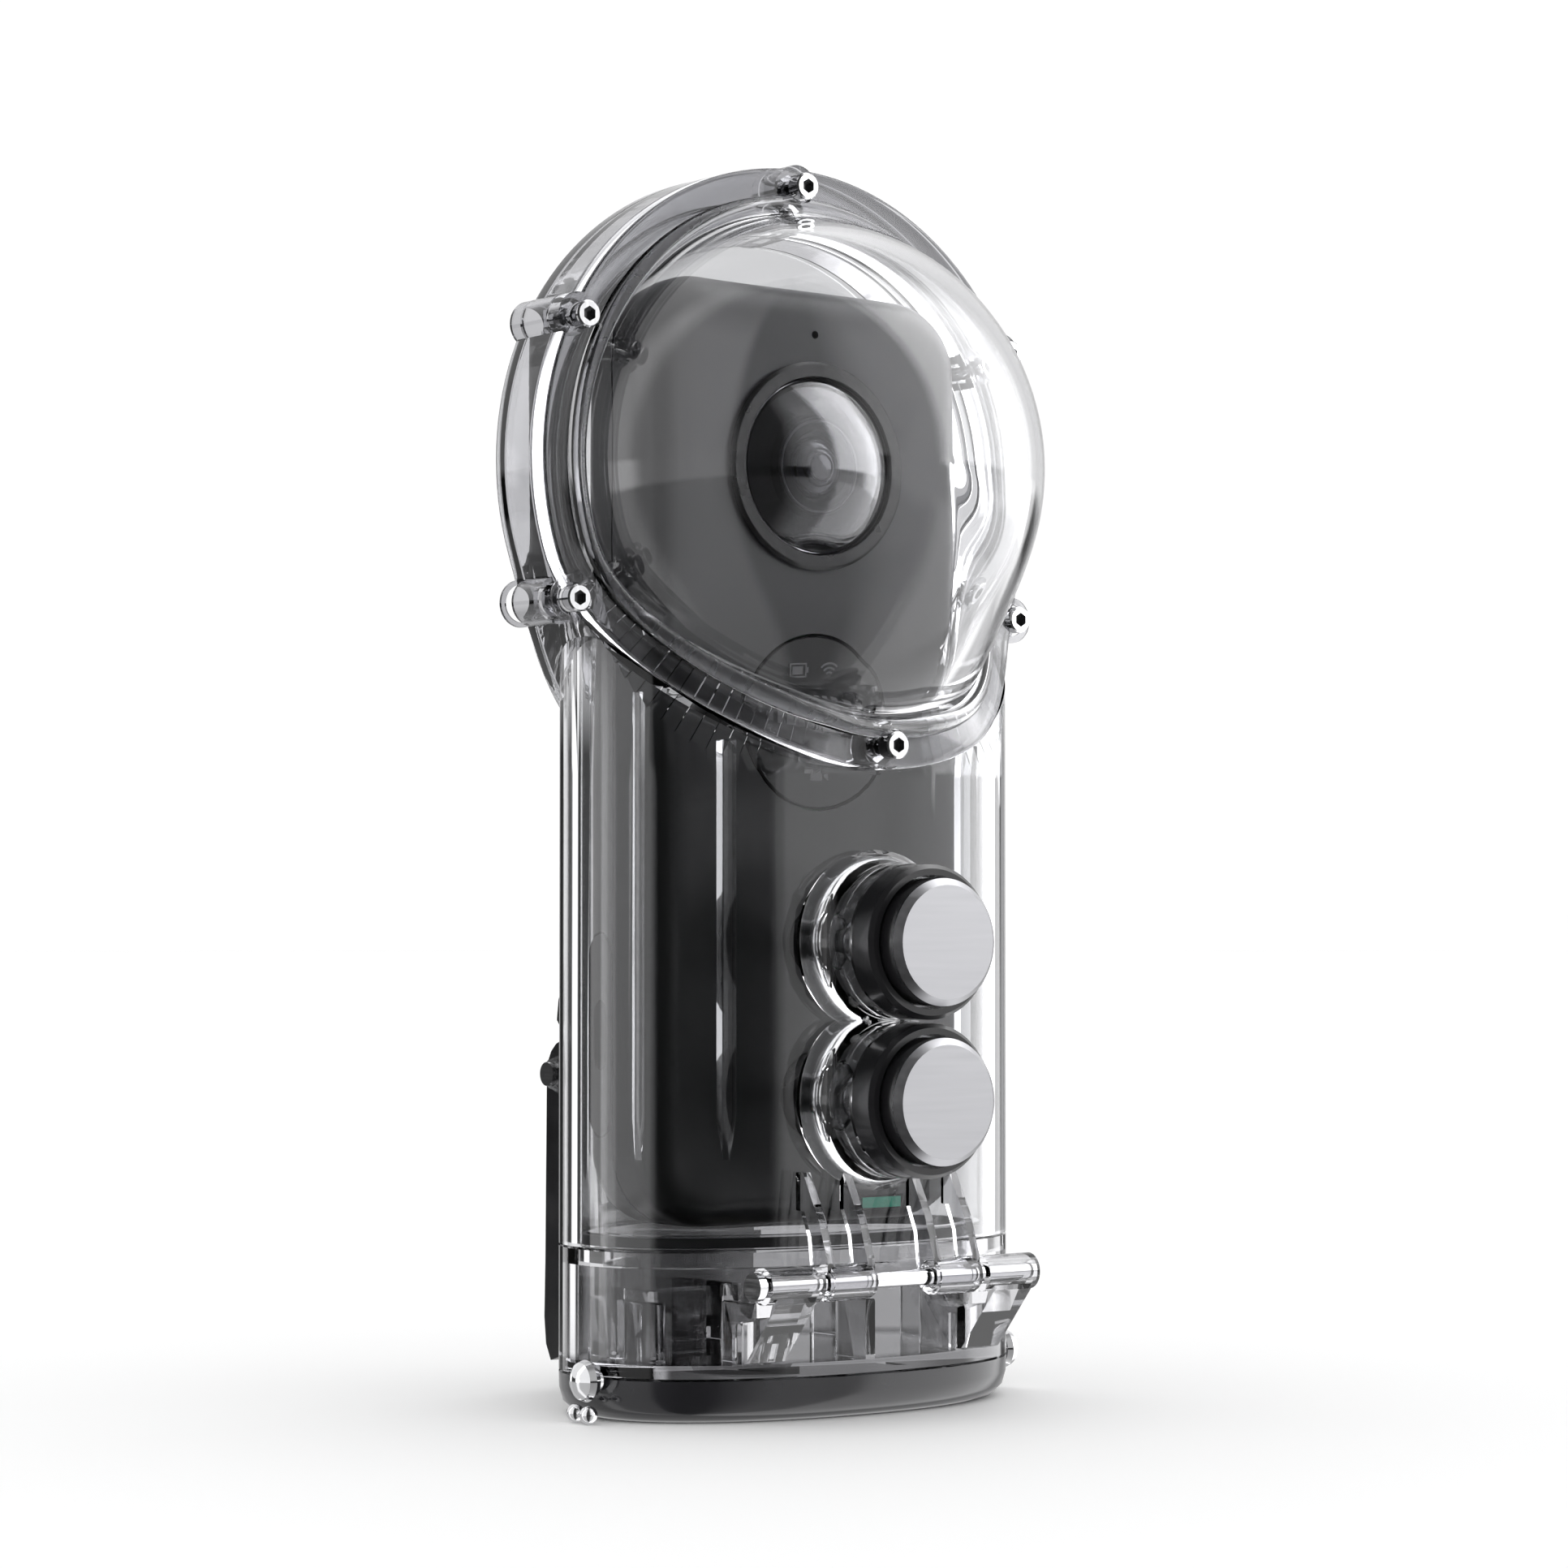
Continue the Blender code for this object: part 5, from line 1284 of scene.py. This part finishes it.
# (radius, height, material)
LENS_RINGS = [(5.5, 0.5, INK), (3.2, 0.1, TRIM), (2.3, 0.75, TRIM), (1.6, 1.0, INK)]
LENS_RING_HALF = 0.12          # half the width of one


def make_lens_rings():
    """The thin rings round the coated middle of each lens."""
    for tag, side in (("front", 1), ("rear", -1)):
        facing = "front" if side > 0 else "back"
        face = CAMERA_Q + side * CAMERA_HALF_THICK
        for number, (radius, height, material) in enumerate(LENS_RINGS, start=1):
            ring = turned(f"inner_ring_{number}_{tag}",
                          [(radius - LENS_RING_HALF, height + 0.06), (radius, height + 0.12),
                           (radius + LENS_RING_HALF, height + 0.06),
                           (radius + LENS_RING_HALF, height - 0.4), (radius - LENS_RING_HALF, height - 0.4)],
                          0, face, HEAD_Z, steps=24, facing=facing)
            finished(ring, material, node=f"lens_barrel_{tag}")


# ---------------------------------------------------------------- studio
VIEW_ANGLE = math.radians(36.0)
VIEW_DISTANCE = 0.537
VIEW_HEIGHT = 0.0608
VIEW_TILT = math.radians(1.65)
VIEW_SHIFT = 0.00028           # the camera's move to its left
SENSOR_WIDTH = 36.0
FOCAL_LENGTH = 99.65
FLOOR_HALF = 40.0
TENT_RADIUS = 6.0


# level round the tent as (share of a turn, level); the camera stands at 0.15
TENT_STOPS = [(0.000, 1.00), (0.070, 1.00), (0.080, 0.02), (0.268, 0.02), (0.278, 0.95), (0.445, 1.00),
              (0.460, 2.60), (0.550, 2.60), (0.560, 0.06), (0.590, 0.06), (0.610, 0.60), (0.690, 0.60),
              (0.710, 0.06), (0.740, 0.06), (0.750, 1.80), (0.780, 1.80), (0.790, 0.04), (0.880, 0.04),
              (0.885, 2.60), (0.940, 2.60), (0.950, 1.00), (1.000, 1.00)]
UPPER_STOPS = [(0.000, 0.95), (0.070, 0.90), (0.085, 0.04), (0.195, 0.06), (0.265, 0.95), (0.345, 1.00),
               (0.355, 3.60), (0.500, 3.80), (0.530, 1.40), (0.560, 0.70), (0.620, 0.90), (0.885, 0.90),
               (0.900, 1.60), (0.930, 1.60), (0.945, 0.95), (1.000, 0.95)]
LOWER_STOPS = [(0.000, 0.50), (0.070, 0.45), (0.085, 0.04), (0.195, 0.06), (0.265, 0.60), (0.345, 0.65),
               (0.355, 1.50), (0.530, 1.50), (0.560, 0.50), (0.885, 0.50), (0.900, 1.00), (0.930, 1.00),
               (0.945, 0.50), (1.000, 0.50)]
TOP_STOPS = [(0.0, 0.12), (0.43, 0.12), (0.47, 0.9), (0.93, 0.9), (0.97, 0.12), (1.0, 0.12)]
# (degrees above the horizon where a layer starts, where it is full, its share, its levels)
TENT_LAYERS = [(2.8, 4.6, 0.95, UPPER_STOPS), (55.0, 80.0, 0.8, TOP_STOPS), (-5.0, -7.0, 0.95, LOWER_STOPS)]
BACKDROP_LEVEL = 1.05


def grey(level):
    return (level, level, level * 1.01, 1.0)


def studio_object(name, bm):
    mesh = bpy.data.meshes.new(name)
    bm.to_mesh(mesh)
    bm.free()
    obj = bpy.data.objects.new(name, mesh)
    bpy.context.scene.collection.objects.link(obj)
    return obj


def make_tent():
    """A round light tent that only gloss and glass see: panels with a dark gap behind the camera."""
    bm = bmesh.new()
    bmesh.ops.create_uvsphere(bm, u_segments=96, v_segments=48, radius=TENT_RADIUS)
    tent = studio_object("tent", bm)
    tent.data.materials.append(tent_light())
    tent.visible_camera = False
    tent.visible_diffuse = False
    tent.visible_shadow = False


def tent_light():
    """Panels round the horizon; above it a calmer veil with a bright side, and a dim top."""
    material = bpy.data.materials.new("tent_light")
    material.use_nodes = True
    nodes, links = material.node_tree.nodes, material.node_tree.links
    nodes.remove(nodes["Principled BSDF"])
    emission = nodes.new("ShaderNodeEmission")
    links.new(emission.outputs["Emission"], nodes["Material Output"].inputs["Surface"])
    place = nodes.new("ShaderNodeTexCoord").outputs["Object"]
    turn = nodes.new("ShaderNodeTexGradient")
    turn.gradient_type = "RADIAL"
    links.new(place, turn.inputs["Vector"])
    split = nodes.new("ShaderNodeSeparateXYZ")
    links.new(place, split.inputs["Vector"])

    def panels(stops):
        """Level round the tent."""
        ramp = nodes.new("ShaderNodeValToRGB")
        elements = ramp.color_ramp.elements
        for element, (position, level) in zip(elements, (stops[0], stops[-1])):
            element.position = position
            element.color = grey(level)
        for position, level in stops[1:-1]:
            elements.new(position).color = grey(level)
        links.new(turn.outputs["Fac"], ramp.inputs["Fac"])
        return ramp.outputs["Color"]

    colour = panels(TENT_STOPS)
    for low, high, share, stops in TENT_LAYERS:
        rise = nodes.new("ShaderNodeMapRange")
        rise.inputs["From Min"].default_value = TENT_RADIUS * math.sin(math.radians(low))
        rise.inputs["From Max"].default_value = TENT_RADIUS * math.sin(math.radians(high))
        rise.inputs["To Max"].default_value = share
        links.new(split.outputs["Z"], rise.inputs["Value"])
        mix = nodes.new("ShaderNodeMix")
        mix.data_type = "RGBA"
        links.new(rise.outputs["Result"], mix.inputs["Factor"])
        links.new(colour, mix.inputs["A"])
        links.new(panels(stops), mix.inputs["B"])
        colour = mix.outputs["Result"]
    links.new(colour, emission.inputs["Color"])
    return material


def make_floor():
    """A plain pale floor."""
    bm = bmesh.new()
    bmesh.ops.create_grid(bm, x_segments=1, y_segments=1, size=FLOOR_HALF)
    floor = studio_object("floor", bm)
    surface = Surface("pale_floor", (0.97, 0.97, 0.97), 0.9)
    surface.colour(surface.noise(3.0), [(0.3, (0.965, 0.965, 0.965)), (0.7, (0.975, 0.975, 0.975))])
    floor.data.materials.append(surface.material)
    floor.visible_glossy = False
    floor.visible_transmission = False


def make_world():
    world = bpy.data.worlds.new("studio")
    world.use_nodes = True
    background = world.node_tree.nodes["Background"]
    background.inputs["Color"].default_value = (1.0, 1.0, 1.0, 1.0)
    background.inputs["Strength"].default_value = BACKDROP_LEVEL
    bpy.context.scene.world = world


def make_camera():
    data = bpy.data.cameras.new("camera")
    data.sensor_width = SENSOR_WIDTH
    data.lens = FOCAL_LENGTH
    data.clip_start = 0.01
    camera = bpy.data.objects.new("camera", data)
    forward = Vector((math.sin(VIEW_ANGLE), math.cos(VIEW_ANGLE), 0.0))
    right = Vector((math.cos(VIEW_ANGLE), -math.sin(VIEW_ANGLE), 0.0))
    camera.location = point(0, 0, 0) - forward * VIEW_DISTANCE - right * VIEW_SHIFT
    camera.location.z = VIEW_HEIGHT
    aim = forward * math.cos(VIEW_TILT) + Vector((0.0, 0.0, math.sin(VIEW_TILT)))
    camera.rotation_euler = aim.to_track_quat("-Z", "Y").to_euler()
    bpy.context.scene.collection.objects.link(camera)
    bpy.context.scene.camera = camera


# ---------------------------------------------------------------- build
bpy.context.scene.view_settings.view_transform = "Standard"
make_housing()
make_front_dome()
make_rear_dome()
make_dome_seal()
make_screws()
make_lid()
make_base()
make_lid_seal()
make_lanyard_posts()
pin("hinge_pin", (-20.6, HINGE_Q, HINGE_Z), (20.6, HINGE_Q, HINGE_Z), PIN_RADIUS, 1.7, 1.0)
make_latch()
for which, level in BUTTON_Z.items():
    make_button(which, level)
make_camera_shells()
make_lens("front", 1)
make_lens("rear", -1)
make_camera_details()
make_display_marks()
make_guide_rails()
make_lens_rings()
make_tent()
make_floor()
make_world()
make_camera()
